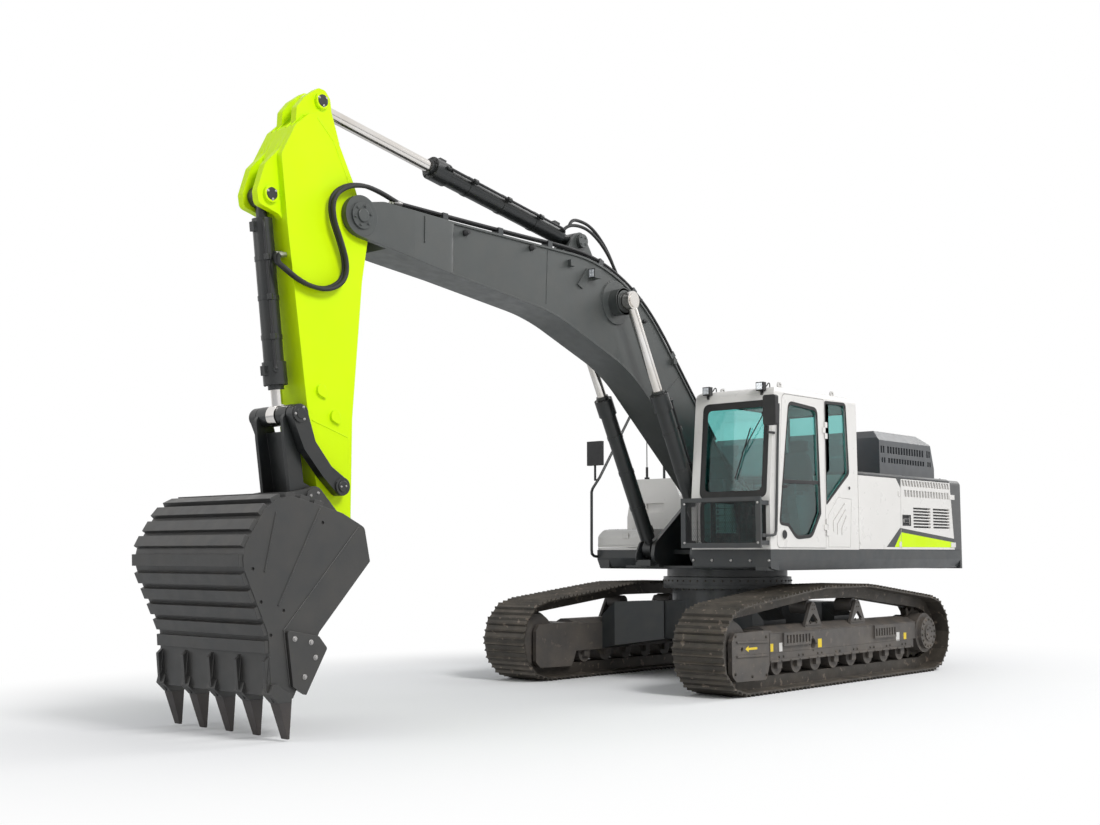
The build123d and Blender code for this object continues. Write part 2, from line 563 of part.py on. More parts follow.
with BuildPart() as engine_hood:
    # raised lid over the engine, bevelled all round its top, open underneath
    slab([(HOOD_X[0], BODY_TOP + 8), (HOOD_X[0], 2800), (-1500, HOOD_TOP), (-2600, HOOD_TOP),
          (-2800, 2790), (HOOD_X[1], 2480), (HOOD_X[1], BODY_TOP + 8)], -HOOD_HALF, HOOD_HALF)
    frontal([(-HOOD_HALF, BODY_TOP), (-HOOD_HALF, 2770), (-1140, HOOD_TOP + 1), (1140, HOOD_TOP + 1),
             (HOOD_HALF, 2770), (HOOD_HALF, BODY_TOP)], HOOD_X[1] - 5, HOOD_X[0] + 5, mode=Mode.INTERSECT)
    inside = HOOD_HALF - SKIN
    block(HOOD_X[1] + SKIN, HOOD_X[0] - SKIN, -inside, inside, BODY_TOP, 2470, mode=Mode.SUBTRACT)
    block(-2780, HOOD_X[0] - SKIN, -inside, inside, 2460, 2755, mode=Mode.SUBTRACT)
    # two rows of openings in each side, between the posts
    ROW = ((-1577, -1462, 2), (-2606, -1625, 14), (-2790, -2676, 2))
    for rear_x, front_x, count in ROW:
        louvres(rear_x, front_x, 2614, 2700, count, 0, -HOOD_HALF, HOOD_HALF)
        louvres(rear_x - 20, front_x - 20, 2498, 2560, count, 0, -HOOD_HALF, HOOD_HALF)
    # hinge barrels in front
    for low, high in both(700, 820):
        round_bar(HOOD_HINGE, KNUCKLE, low, high)
engine_hood.part.label = "engine_hood"

with BuildPart() as hydraulic_tank:
    block(-1450, TANK_REAR - SEAM, -1486, -540, DECK_TOP, PANEL_TOP)
    fillet(edges().filter_by(Axis.Z), 60)
    upright((-1130, -1000), 90, PANEL_TOP, BODY_TOP - ROOF_SHEET)
hydraulic_tank.part.label = "hydraulic_tank"

with BuildPart() as fuel_tank:
    # leaning outer side, rounded top, and the step pocket in its front face
    frontal([(-1486, DECK_TOP), (-1486, 1850, 100), (-1390, 2320, 70), (-770, 2320, 60), (-640, 2000, 60),
             (-540, DECK_TOP)], TANK_REAR, TANK_FRONT)
    block(TANK_FRONT - 25, TANK_FRONT, -1186, -913, 1907, 2017, mode=Mode.SUBTRACT)
    upright((-520, -1050), 70, 2320, 2352)
fuel_tank.part.label = "fuel_tank"

with BuildPart() as toolbox:
    block(15, 590, -1474, -700, DECK_TOP, TOOLBOX_SPLIT - 5)
    block(40, 560, -1450, -725, DECK_TOP + 8, TOOLBOX_SPLIT + 5, mode=Mode.SUBTRACT)
toolbox.part.label = "toolbox"

with BuildPart() as toolbox_lid:
    slab([(15, TOOLBOX_SPLIT), (590, TOOLBOX_SPLIT), (590, 1600, 60), (530, 1692, 70), (15, 1692)],
         -1474, -700)
    frontal([(-1474, TOOLBOX_SPLIT), (-1474, 1620, 60), (-1430, 1694, 40), (-700, 1694),
             (-700, TOOLBOX_SPLIT)], 15, 590, mode=Mode.INTERSECT)
    slab([(40, TOOLBOX_SPLIT), (555, TOOLBOX_SPLIT), (555, 1590), (500, 1652), (40, 1652)], -1435, -725,
         mode=Mode.SUBTRACT)
    # raised line round the front, latch plate and hinge barrels
    block(590, 596, -1474, -700, TOOLBOX_SPLIT + 26, TOOLBOX_SPLIT + 36)
    block(582, 598, -1100, -1000, 1580, 1640)
    for y in (-1300, -860):
        round_bar(TOOLBOX_HINGE, 6, y - KNUCKLE_HALF, y + KNUCKLE_HALF)
toolbox_lid.part.label = "toolbox_lid"

# ---------------------------------------------------------------- cab
LEAN_Z, LEAN = CAB_LEAN
CAB_SIDE = [(CAB_FRONT, DECK_TOP), (CAB_FRONT, LEAN_Z), (CAB_FRONT - LEAN, CAB_TOP, 90),
            (CAB_REAR + 10, CAB_TOP + 15, 90), (CAB_REAR, 2400), (CAB_REAR, DECK_TOP)]
CAB_ROOM = [(CAB_FRONT - CAB_WALL, CAB_FLOOR), (CAB_FRONT - CAB_WALL, LEAN_Z),
            (CAB_FRONT - LEAN - CAB_WALL, CAB_TOP - 60), (CAB_REAR + CAB_WALL + 10, CAB_TOP - 60),
            (CAB_REAR + CAB_WALL, CAB_FLOOR)]
DOOR_EDGE = [(290, DECK_TOP + 19), (1284, DECK_TOP + 19, 60), (1138, 3078, 70), (290, 3084)]
DOOR_OPENING = [(284, DECK_TOP + 13), (1291, DECK_TOP + 13, 60), (1144, 3084, 70), (284, 3090)]
DOOR_WINDOW = [(1013, 2999, 60), (433, 2968, 60), (397, 1842), (586, 1587, 60),
               (899, 1567, 60), (1055, 1700), (1222, 1714, 40)]
QUARTER_WINDOW = [(262, 3062, 20), (-190, 3075, 40), (-235, 2300, 30), (262, 1942, 10)]
DOOR_SKIN = (CAB_LEFT - 45, CAB_LEFT)


def pane(window, x_low, x_high, mode=Mode.ADD):
    """A window in the cab's front, with rounded corners, as y low, y high, z low, z high."""
    y_low, y_high, z_low, z_high = window
    with BuildSketch(front_plane(x_low)) as face:
        with Locations(((y_low + y_high) / 2, (z_low + z_high) / 2)):
            RectangleRounded(y_high - y_low, z_high - z_low, 50)
    extrude(face.sketch, amount=x_high - x_low, mode=mode)


with BuildPart() as cab_shell:
    slab(CAB_SIDE, CAB_RIGHT, CAB_LEFT)
    frontal([(CAB_RIGHT, DECK_TOP), (CAB_RIGHT, CAB_TOP + 16, 80), (CAB_LEFT, CAB_TOP + 16, 80),
             (CAB_LEFT, DECK_TOP)], CAB_REAR - 5, CAB_FRONT + 5, mode=Mode.INTERSECT)
    slab(CAB_ROOM, CAB_RIGHT + CAB_WALL, CAB_LEFT - CAB_WALL, mode=Mode.SUBTRACT)
    # door opening, a little larger than the door
    slab(DOOR_OPENING, CAB_LEFT - CAB_WALL - 5, CAB_LEFT + 5, mode=Mode.SUBTRACT)
    slab(QUARTER_WINDOW, CAB_LEFT - CAB_WALL - 5, CAB_LEFT + 5, mode=Mode.SUBTRACT)
    slab(RIGHT_WINDOW, CAB_RIGHT - 5, CAB_RIGHT + CAB_WALL + 5, mode=Mode.SUBTRACT)
    for window in (WINDSCREEN, LOWER_SCREEN):
        pane(window, CAB_FRONT - LEAN - 90, CAB_FRONT + 5, mode=Mode.SUBTRACT)
    block(CAB_REAR - 5, CAB_REAR + 70, *REAR_WINDOW, mode=Mode.SUBTRACT)
    block(*ROOF_WINDOW, CAB_TOP - 80, CAB_TOP + 30, mode=Mode.SUBTRACT)
    # vent panel with its seam and three bent slots behind the door
    VENT = [(17, 2020), (-288, 2011), (-246, 1469), (236, 1469), (236, 1819)]
    INNER_VENT = [(14, 2014), (-281, 2005), (-240, 1475), (230, 1475), (230, 1816)]
    groove = CAB_LEFT - 5
    slab(VENT, groove, CAB_LEFT + 5, mode=Mode.SUBTRACT)
    slab(INNER_VENT, groove, CAB_LEFT)
    VENT_SLOTS = (((-123, 1961), (134, 1759), 1640), ((-138, 1895), (47, 1725), 1610),
                  ((-160, 1827), (-51, 1690), 1610))
    for (x, z), (bend_x, bend_z), low in VENT_SLOTS:
        slab([(x, z), (bend_x, bend_z), (bend_x, low), (bend_x - 16, low), (bend_x - 16, bend_z - 4),
              (x - 10, z - 10)], CAB_LEFT - 14, CAB_LEFT, mode=Mode.SUBTRACT)
    # press catches of the vent panel and of the body's side
    round_bar((-228, 2133), 20, CAB_LEFT, CAB_LEFT + 9)
    # hinge barrels above and below the door's own
    for z in CAB_HINGE_Z:
        for low in (z - 3 * KNUCKLE_HALF - 1, z + KNUCKLE_HALF + 1):
            upright(CAB_DOOR_HINGE, KNUCKLE - 1, low, low + 2 * KNUCKLE_HALF)
            block(232, CAB_DOOR_HINGE[0], CAB_LEFT, CAB_DOOR_HINGE[1] + 4, low, low + 2 * KNUCKLE_HALF)
    # lifting eyes on the roof
    for x, y in CAB_EYES:
        round_bar((x, CAB_EYE_Z), CAB_EYE_RADIUS, y - CAB_EYE_HALF, y + CAB_EYE_HALF)
        upright((x, y), 24, CAB_TOP - 12, CAB_TOP + 12)
        round_bar((x, CAB_EYE_Z), CAB_EYE_BORE, y - CAB_EYE_HALF, y + CAB_EYE_HALF, mode=Mode.SUBTRACT)
cab_shell.part.label = "cab_shell"

with BuildPart() as cab_glass:
    slab(QUARTER_WINDOW, CAB_LEFT - 30, CAB_LEFT - 20)
    slab(RIGHT_WINDOW, CAB_RIGHT + 20, CAB_RIGHT + 30)
    pane(LOWER_SCREEN, CAB_FRONT - 45, CAB_FRONT - 35)
    block(CAB_REAR + 25, CAB_REAR + 35, *REAR_WINDOW)
    block(*ROOF_WINDOW, CAB_TOP - 40, CAB_TOP - 30)
    # the windscreen leans back with the cab's front
    slope = LEAN / (CAB_TOP - LEAN_Z)
    low, high = WINDSCREEN[2:]
    foot, head = CAB_FRONT - 35 - slope * (low - LEAN_Z), CAB_FRONT - 35 - slope * (high - LEAN_Z)
    with BuildPart(mode=Mode.PRIVATE) as screen:
        pane(WINDSCREEN, CAB_FRONT - LEAN - 90, CAB_FRONT)
        slab([(foot, low), (head, high), (head - 10, high), (foot - 10, low)], CAB_RIGHT, CAB_LEFT,
             mode=Mode.INTERSECT)
    add(screen.part)
cab_glass.part.label = "cab_glass"

with BuildPart() as cab_guard:
    # mesh frame standing in front of the lower windscreen, on four brackets
    GUARD_X, GUARD_Y, GUARD_Z = (1560, 1590), (495, 1492), (1460, 1985)
    block(*GUARD_X, *GUARD_Y, *GUARD_Z)
    block(GUARD_X[0] - 5, GUARD_X[1] + 5, 555, 1433, 1513, 1939, mode=Mode.SUBTRACT)
    for y in range(604, 1400, 88):
        block(1568, 1574, y, y + 6, 1513, 1939)
    for z in range(1582, 1900, 71):
        block(1574, 1580, 555, 1433, z, z + 6)
    for low, high in ((520, 560), (1440, 1480)):
        for z in (1490, 1900):
            block(CAB_FRONT, GUARD_X[0], low, high, z, z + 45)
cab_guard.part.label = "cab_guard"

with BuildPart() as operator_seat:
    slab([(240, CAB_FLOOR), (620, CAB_FLOOR), (560, 1800), (300, 1800)], 830, 1170)
    slab([(160, 1800), (740, 1800, 30), (740, 1930, 60), (260, 1920, 40), (90, 2560, 50),
          (-40, 2540, 50), (110, 1850)], 750, 1250)
    slab([(60, 2545), (20, 2700, 40), (-60, 2690, 40), (-30, 2530)], 880, 1120)
operator_seat.part.label = "operator_seat"

with BuildPart() as cab_consoles:
    for y in (600, 1280):
        slab([(180, CAB_FLOOR), (600, CAB_FLOOR), (760, 2030, 60), (200, 2030, 60)], y, y + 110)
        slab([(655, 2020), (705, 2020), (735, 2190, 15), (690, 2200, 15)], y + 35, y + 75)
        slab([(200, 2028), (560, 2028), (560, 2075, 20), (200, 2075, 20)], y + 10, y + 100)
    # travel pedals and levers, and the screen on its post
    block(1060, 1180, 640, 1300, CAB_FLOOR, 1620)
    for y in (900, 1000):
        slab([(1100, 1615), (1140, 1615), (1060, 2010, 15), (1030, 2000, 15)], y, y + 30)
    block(1180, 1240, 600, 800, 2000, 2200)
    block(1200, 1230, 640, 680, CAB_FLOOR, 2000)
cab_consoles.part.label = "cab_consoles"

with BuildPart() as cab_door:
    slab(DOOR_EDGE, *DOOR_SKIN)
    slab(DOOR_WINDOW, CAB_LEFT - 50, CAB_LEFT + 5, mode=Mode.SUBTRACT)
    # bar across the window, lock, and the hinge's own barrels
    slab([(408, 2152), (1188, 2140), (1185, 2172), (409, 2184)], CAB_LEFT - 18, CAB_LEFT - 4)
    round_bar((1144, 1601), 52, CAB_LEFT, CAB_LEFT + 7)
    for z in CAB_HINGE_Z:
        upright(CAB_DOOR_HINGE, KNUCKLE - 1, z - KNUCKLE_HALF, z + KNUCKLE_HALF)
        block(CAB_DOOR_HINGE[0], 330, CAB_LEFT, CAB_DOOR_HINGE[1] + 4, z - KNUCKLE_HALF, z + KNUCKLE_HALF)
cab_door.part.label = "cab_door"

with BuildPart() as door_glass:
    slab(DOOR_WINDOW, CAB_LEFT - 28, CAB_LEFT - 20)
door_glass.part.label = "door_glass"

with BuildPart() as mirrors:
    # left head on an arm from the cab's front pillar
    block(1470, 1530, 1504, 1655, 2715, 3028)
    fillet(edges().filter_by(Axis.X), 25)
    block(1315, 1480, CAB_LEFT, 1512, 2640, 2664)
    upright((1465, 1508), 11, 2640, 2980)
    # right head on a stalk from the handrail's post
    block(560, 610, -1632, -1404, 2476, 2773)
    block(575, 595, -1532, -1512, 2290, 2480)
    block(575, 595, -1532, -1499, 2290, 2310)
    # two work lamps on the cab's roof edge and one on the cab's rear corner
    for y in (674, 1354):
        block(1292, 1352, y - 45, y + 45, 3105, 3195)
        block(1303.5, 1320, y - 12, y + 12, 3062, 3110)
    # whip of the radio on the fuel tank
    upright((-150, -1285), 32, 2320, 2352)
    upright((-150, -1285), 16, 2352, 2480)
    upright((-150, -1285), 6, 2480, 2900)
mirrors.part.label = "mirrors"

with BuildPart() as handrail:
    # post beside the toolbox, slope, rail over the fuel tank, and the grab rail of the cab's door
    pipe(((592.5, -1492, 1366), (645, -1492, 1372), (686, -1492, 1400), (693, -1492, 1455),
          (690, -1492, 2148), (672, -1490, 2190), (549, -1478, 2333), (10, -1430, 3110),
          (-23, -1428, 3145), (-60, -1428, 3155), (-680, -1428, 3155), (-700, -1428, 3140),
          (-700, -1428, 2300)), 17)
    pipe(((1262, CAB_LEFT, 2950), (1262, 1524, 2950), (1262, 1524, 2920), (1345, 1524, 1640),
          (1362, 1524, 1600), (1400, 1520, 1590), (1480, 1500, 1588), (1500, 1487, 1588)), 14)
    block(1470, 1560, 1480, 1496, 1570, 1606)
handrail.part.label = "handrail"

# ---------------------------------------------------------------- boom
with BuildPart() as boom:
    slab(BOOM_OUTLINE, -FORK_HALF, FORK_HALF)
    # in plan, the fork widens towards the nose
    FLARE = ((-60, BOOM_HALF), (4700, BOOM_HALF), (5236, 237), (5900, FORK_HALF), (6100, FORK_HALF))
    plan([*FLARE, *[(x, -y) for x, y in reversed(FLARE)]], 1700, 4800, mode=Mode.INTERSECT)
    # side plates stand inside the edges of the top and bottom plates
    with BuildSketch(side_plane(BOOM_HALF + 1)) as web:
        with BuildLine():
            outline(BOOM_OUTLINE)
        make_face()
        offset(amount=-FLANGE, mode=Mode.REPLACE)
        with Locations((5090 + 1000, 3000)):
            Rectangle(2000, 4000, mode=Mode.SUBTRACT)
    extrude(amount=BOOM_HALF + 1 - BOOM_WEB, mode=Mode.SUBTRACT)
    with BuildSketch(side_plane(-BOOM_WEB)):
        add(web.sketch_local)
    extrude(amount=BOOM_HALF + 1 - BOOM_WEB, mode=Mode.SUBTRACT)
    # bosses of the foot, nose and rams, with the ring welded round the rams' boss
    round_bar(BOOM_FOOT, 168, -FOOT_HALF, FOOT_HALF)
    round_bar(BOOM_NOSE, 178, -FORK_HALF, FORK_HALF)
    round_bar(BOOM_NOSE, 118, -FORK_HALF - 16, FORK_HALF + 16)
    round_bar(BOOM_RAM_EYE, 232, -BOOM_HALF, BOOM_HALF)
    round_bar(BOOM_RAM_EYE, 140, -322, 322)
    # fork for the arm
    round_bar(BOOM_NOSE, 400, -FORK_GAP, FORK_GAP, mode=Mode.SUBTRACT)
    round_bar(BOOM_NOSE, NOSE_PIN, -FORK_HALF, FORK_HALF)
    round_bar(BOOM_FOOT, FOOT_PIN + FIT, -FOOT_HALF, FOOT_HALF, mode=Mode.SUBTRACT)
    # lugs of the arm ram, with pin caps
    for low, high in both(62, 105):
        wrapped([(*ARM_RAM_BASE, 95), (2560, 4380, 60), (3050, 4380, 60)], low, high)
    for low, high in both(105, 150):
        round_bar(ARM_RAM_BASE, CAP_RADIUS, low, high)
    round_bar(ARM_RAM_BASE, ARM_RAM[0], -105, 105)
    # work lamp on its bracket
    slab([(2655, 4235), (2655, 4340), (2785, 4340), (2940, 4150), (2860, 4115), (2760, 4235)], 188, 206)
    block(2668, 2768, 206, 290, 4236, 4336)
    # clamps of the pipes along the side
    block(3023, 3083, BOOM_WEB - 5, 236, 4318, 4382)
    block(1274, 1334, BOOM_WEB - 5, 236, 3490, 3552)
boom.part.label = "boom"

with BuildPart() as boom_ram_barrels:
    ram_barrel(BOOM_RAM_BASE, BOOM_RAM_EYE, BOOM_RAM_Y, BOOM_RAM, 1900)
    mirror(about=Plane.XZ)
boom_ram_barrels.part.label = "boom_ram_barrels"

with BuildPart() as boom_ram_rods:
    ram_rod(BOOM_RAM_BASE, BOOM_RAM_EYE, BOOM_RAM_Y, BOOM_RAM, 995)
    round_bar(BOOM_RAM_EYE, 74, BOOM_RAM_Y + EYE_HALF, BOOM_RAM_Y + EYE_HALF + 12)
    mirror(about=Plane.XZ)
boom_ram_rods.part.label = "boom_ram_rods"

with BuildPart() as arm_ram_barrel:
    ram_barrel(ARM_RAM_BASE, ARM_RAM_EYE, 0, ARM_RAM, 2120, 230)
arm_ram_barrel.part.label = "arm_ram_barrel"

with BuildPart() as arm_ram_rod:
    ram_rod(ARM_RAM_BASE, ARM_RAM_EYE, 0, ARM_RAM, 1302)
arm_ram_rod.part.label = "arm_ram_rod"

# ---------------------------------------------------------------- arm
with BuildPart() as arm:
    slab(ARM_OUTLINE, -ARM_HALF, ARM_HALF)
    round_bar(BOOM_NOSE, 185, -ARM_HALF, ARM_HALF)
    round_bar(BUCKET_PIN, 130, -ARM_HALF, ARM_HALF)
    # ears of the arm ram and of the bucket ram, with pins and pin caps
    for low, high in both(*EAR):
        slab(ARM_RAM_EAR, low, high)
        slab(BUCKET_RAM_EAR, low, high)
    for pin, size in ((ARM_RAM_EYE, ARM_RAM), (BUCKET_RAM_BASE, BUCKET_RAM)):
        for low, high in both(EAR[1], CAP_END):
            round_bar(pin, CAP_RADIUS, low, high)
    round_bar(BUCKET_RAM_BASE, BUCKET_RAM[0], -EAR[1], EAR[1])
    # half-round lugs for hose clamps on the left side
    for x, z in ((6235, 2755), (6085, 2548)):
        wrapped([(x - 25, z - 42, 22), (x + 10, z, 48)], ARM_HALF, ARM_HALF + 24)
    round_bar(BOOM_NOSE, NOSE_PIN + FIT, -ARM_HALF, ARM_HALF, mode=Mode.SUBTRACT)
    round_bar(ROCKER_PIN, 48, -306, 306)
    round_bar(BUCKET_PIN, 50, -268, 268)
arm.part.label = "arm"

with BuildPart() as bucket_ram_barrel:
    ram_barrel(BUCKET_RAM_BASE, LINK_TOP, 0, BUCKET_RAM, 1600, 180)
bucket_ram_barrel.part.label = "bucket_ram_barrel"

with BuildPart() as bucket_ram_rod:
    ram_rod(BUCKET_RAM_BASE, LINK_TOP, 0, BUCKET_RAM, 222, 60)
bucket_ram_rod.part.label = "bucket_ram_rod"

with BuildPart() as rocker_links:
    # bowed arms, thick bosses at both ends
    KNEES = ((*ROCKER_PIN, 78), (6229, 2070, 62), (6419, 2282, 66), (*LINK_TOP, 80))
    for low, high in both(*ROCKER):
        for first, second in zip(KNEES, KNEES[1:]):
            wrapped([first, second], low, high)
    for low, high in both(ROCKER[0], ROCKER[1] + 14):
        for pin in (ROCKER_PIN, LINK_TOP):
            round_bar(pin, 74, low, high)
        round_bar(LINK_TOP, 44, low, high + 6 if low > 0 else high)
        round_bar(ROCKER_PIN, 48 + FIT, low, high, mode=Mode.SUBTRACT)
rocker_links.part.label = "rocker_links"

with BuildPart() as bucket_link:
    # round bosses at both ends, two side plates, and the web between them
    round_bar(LINK_PIN, 85, -LINK_PLATE[1], LINK_PLATE[1])
    for low, high in both(*LINK_PLATE):
        slab([(6455, 2540), (6560, 2610, 60), (6626, 2500, 40), (6610, 2350), (6535, 1860, 60),
              (6400, 1762, 60), (6285, 1780, 60), (6330, 1950), (6404, 1980), (6440, 2201)], low, high)
    for low, high in both(62, LINK_PLATE[1]):
        round_bar(LINK_TOP, 82, low, high)
    slab([(6385, 1880), (6425, 1880), (6520, 2400), (6480, 2400)], -LINK_PLATE[1] + 2, LINK_PLATE[1] - 2)
    round_bar(LINK_PIN, 45 + FIT, -200, 200, mode=Mode.SUBTRACT)
bucket_link.part.label = "bucket_link"

# ---------------------------------------------------------------- bucket
with BuildPart() as bucket:
    with BuildSketch(side_plane(BUCKET_HALF)) as profile:
        with BuildLine():
            outline(BUCKET_OUTLINE)
        make_face()
    extrude(amount=2 * BUCKET_HALF)
    # strips across the back, from the top plate round to the lip
    with BuildLine() as back:
        FilletPolyline((6600, 1761), (7090, 1880), (7400, 1380), (7120, 800), (7106, 640),
                       radius=(330, 260, 300))
    with BuildSketch(side_plane(BUCKET_HALF - 6)):
        for n in range(STRIPS):
            spot = back.line @ ((n + 0.5) / STRIPS)
            slope = back.line % ((n + 0.5) / STRIPS)
            turn = Vector(1, 0).get_signed_angle(slope, Vector(0, 0, 1))
            with Locations(Location((spot.X, spot.Y, 0), (0, 0, turn))):
                Rectangle(STRIP_WIDTH, 2 * STRIP_RISE)
    extrude(amount=2 * (BUCKET_HALF - 6))
    with BuildSketch(side_plane(BUCKET_HALF - BUCKET_PLATE)):
        offset(profile.sketch_local, amount=-BUCKET_PLATE)
    extrude(amount=2 * (BUCKET_HALF - BUCKET_PLATE), mode=Mode.SUBTRACT)
    slab(MOUTH, -BUCKET_HALF + BUCKET_PLATE, BUCKET_HALF - BUCKET_PLATE, mode=Mode.SUBTRACT)
    # ears
    for low, high in both(*BUCKET_EAR):
        wrapped([(*BUCKET_PIN, 118), (*LINK_PIN, 105), (6250, 1560, 60)], low, high)
        slab([(6250, 1560), (6345, 1940), (6560, 1900), (6900, 1815), (6700, 1780)], low, high)
        round_bar(BUCKET_PIN, 50 + FIT, low, high, mode=Mode.SUBTRACT)
    for low, high in both(BUCKET_EAR[1], BUCKET_EAR[1] + 20):
        round_bar(LINK_PIN, 92, low, high)
    round_bar(LINK_PIN, 45, -BUCKET_EAR[1], BUCKET_EAR[1])
    # shallow round holes in the side plates, and the bolted side cutters
    for low, high in both(BUCKET_HALF - 14, BUCKET_HALF):
        for hole in ((6626, 1640), (7275, 1288), (7195, 1042), (6986, 972), (7100, 794)):
            round_bar(hole, 14, low, high, mode=Mode.SUBTRACT)
    for low, high in both(BUCKET_HALF, BUCKET_HALF + CUTTER):
        slab(SIDE_CUTTER, low, high)
    # adapters: long tapered rib on the lip, socket round its lower edge
    for n in range(5):
        y = (n - 2) * TOOTH_PITCH
        slab([(7104, 640), (7150, 600), (7125, 380), (7060, TOOTH_ROOT), (7040, 640)], y - 16, y + 16)
        slab([(7100, 430), (7118, 360), (7045, TOOTH_ROOT), (6918, TOOTH_ROOT), (6918, 345), (7020, 400),
              (7040, 430)], y - 52, y + 52)
bucket.part.label = "bucket"

with BuildPart() as bucket_teeth:
    # wedges: root and tip as height, x low, x high and half width
    for n in range(5):
        for height, low, high, half in ((TOOTH_ROOT, 6922, 7038, 55), (TOOTH_TIP, 6922, 6942, 37)):
            with BuildSketch(level_plane(height)):
                with Locations(((low + high) / 2, (n - 2) * TOOTH_PITCH)):
                    Rectangle(high - low, 2 * half)
        loft(ruled=True)
bucket_teeth.part.label = "bucket_teeth"

os.makedirs("parts", exist_ok=True)
for piece in (carbody, swing_bearing, track_left, track_right, track_frame_left, track_frame_right,
              idlers, sprockets, final_drives, lower_rollers, carrier_rollers,
              platform, counterweight, engine, body_frame, left_front_door, left_rear_door,
              right_rear_door, engine_hood, hydraulic_tank, fuel_tank, toolbox, toolbox_lid,
              cab_shell, cab_glass, cab_guard, operator_seat, cab_consoles, cab_door, door_glass,
              mirrors, handrail, boom, boom_ram_barrels, boom_ram_rods, arm_ram_barrel, arm_ram_rod,
              arm, bucket_ram_barrel, bucket_ram_rod, rocker_links, bucket_link, bucket, bucket_teeth):
    export_step(piece.part, f"parts/{piece.part.label}.step")
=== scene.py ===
"""The crawler excavator's finishes, light, camera and small fittings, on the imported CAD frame."""
import json
from math import cos, radians, sin, tau

import bmesh
import bpy
from mathutils import Matrix, Vector


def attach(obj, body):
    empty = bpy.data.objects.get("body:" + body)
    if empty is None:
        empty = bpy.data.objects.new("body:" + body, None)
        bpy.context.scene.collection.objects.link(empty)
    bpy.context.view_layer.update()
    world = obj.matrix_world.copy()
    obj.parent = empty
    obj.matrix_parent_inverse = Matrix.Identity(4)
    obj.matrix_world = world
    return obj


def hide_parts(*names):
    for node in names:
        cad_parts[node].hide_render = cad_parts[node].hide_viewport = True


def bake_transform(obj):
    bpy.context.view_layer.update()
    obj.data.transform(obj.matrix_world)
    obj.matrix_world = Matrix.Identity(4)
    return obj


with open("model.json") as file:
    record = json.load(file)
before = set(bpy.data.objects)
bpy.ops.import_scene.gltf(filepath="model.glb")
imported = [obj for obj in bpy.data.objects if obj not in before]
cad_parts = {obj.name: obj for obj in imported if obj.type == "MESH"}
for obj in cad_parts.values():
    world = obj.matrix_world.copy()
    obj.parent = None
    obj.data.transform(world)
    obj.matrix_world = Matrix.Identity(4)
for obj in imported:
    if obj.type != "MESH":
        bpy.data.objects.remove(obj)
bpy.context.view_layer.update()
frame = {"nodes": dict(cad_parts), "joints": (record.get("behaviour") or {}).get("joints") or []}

# -------------------------------------------- places
# Places are in millimetres with x from the swing axis; the frame's origin is under the machine's middle.
SWING = frame["joints"][0]["pos_m"][0]    # the swing is the first joint
FORWARD, LEFT, UP = Vector((1, 0, 0)), Vector((0, 1, 0)), Vector((0, 0, 1))

# pins of the working gear, in x and z
BOOM_FOOT, BOOM_NOSE = (150, 1990), (5880, 4300)
BOOM_RAM_BASE, BOOM_RAM_EYE = (960, 1450), (2310, 4045)
ARM_RAM_BASE, ARM_RAM_EYE = (2780, 4640), (6245, 5250)
BUCKET_RAM_BASE, LINK_TOP = (6755, 4335), (6525, 2534)
ROCKER_PIN, LINK_PIN, BUCKET_PIN = (6075, 1957), (6345, 1845), (6000, 1480)

# upright faces that carry fittings, by their distance from the machine's middle
FRAME_FACE, BRACKET_FACE = 1480, 1430     # track frames, brackets of the carrier rollers
DOOR_FACE, PANEL_FACE = 1494, 1490        # cab's side, side doors of the body
BOOM_WEB, ARM_WEB = 190, 195
ROOF_TOP = 2335                           # height of the body's roof sheet

MARK_HIGH = 0.0015                        # thickness of a blank plate or a mark, in metres


def at(x, y, z):
    """A point in machine coordinates (millimetres, x from the swing axis) in the frame."""
    return Vector((SWING + x / 1000, y / 1000, z / 1000))


def standing(corners, y):
    """Points in the upright plane at this y, from rows of x and z."""
    return [at(x, y, z) for x, z in corners]


def rectangle(low, high, bottom, top, *radius):
    """The four corners in order, each with the corner radius if there is one."""
    return [(low, bottom, *radius), (high, bottom, *radius), (high, top, *radius), (low, top, *radius)]


SQUARE = rectangle(-1, 1, -1, 1)


# -------------------------------------------- materials
def nodes_of(name):
    """A new material with its node tree, its shader and a maker of nodes."""
    material = bpy.data.materials.new(name)
    material.use_nodes = True
    tree = material.node_tree
    shader = tree.nodes["Principled BSDF"]

    def make(kind, inputs=(), **settings):
        node = tree.nodes.new(kind)
        for key, value in settings.items():
            setattr(node, key, value)
        for key, value in inputs:
            if isinstance(value, bpy.types.NodeSocket):
                tree.links.new(value, node.inputs[key])
            else:
                node.inputs[key].default_value = value
        return node

    return material, tree, shader, make


def spanned(make, value, low, high, first=0.0, last=1.0, **settings):
    """A value between low and high, stretched to run from first to last."""
    return make("ShaderNodeMapRange", [("Value", value), ("From Min", low), ("From Max", high),
                                       ("To Min", first), ("To Max", last)], **settings).outputs["Result"]


def noise_mask(make, coords, scale, low, high, detail=6):
    """A patchy mask: 0 below low, 1 above high."""
    noise = make("ShaderNodeTexNoise", [("Vector", coords), ("Scale", scale), ("Detail", detail)])
    return spanned(make, noise.outputs["Fac"], low, high)


def mixed(make, factor, first, second):
    """Colour mix of two colours or sockets."""
    node = make("ShaderNodeMix", data_type="RGBA")
    links = node.id_data.links
    for socket, value in ((node.inputs[0], factor), (node.inputs[6], first), (node.inputs[7], second)):
        if isinstance(value, bpy.types.NodeSocket):
            links.new(value, socket)
        else:
            socket.default_value = value
    return node.outputs[2]


def times(make, first, second):
    """The product of two values or sockets."""
    return make("ShaderNodeMath", [(0, first), (1, second)], operation="MULTIPLY").outputs[0]


def rgba(red, green, blue):
    """An opaque colour."""
    return (red, green, blue, 1.0)


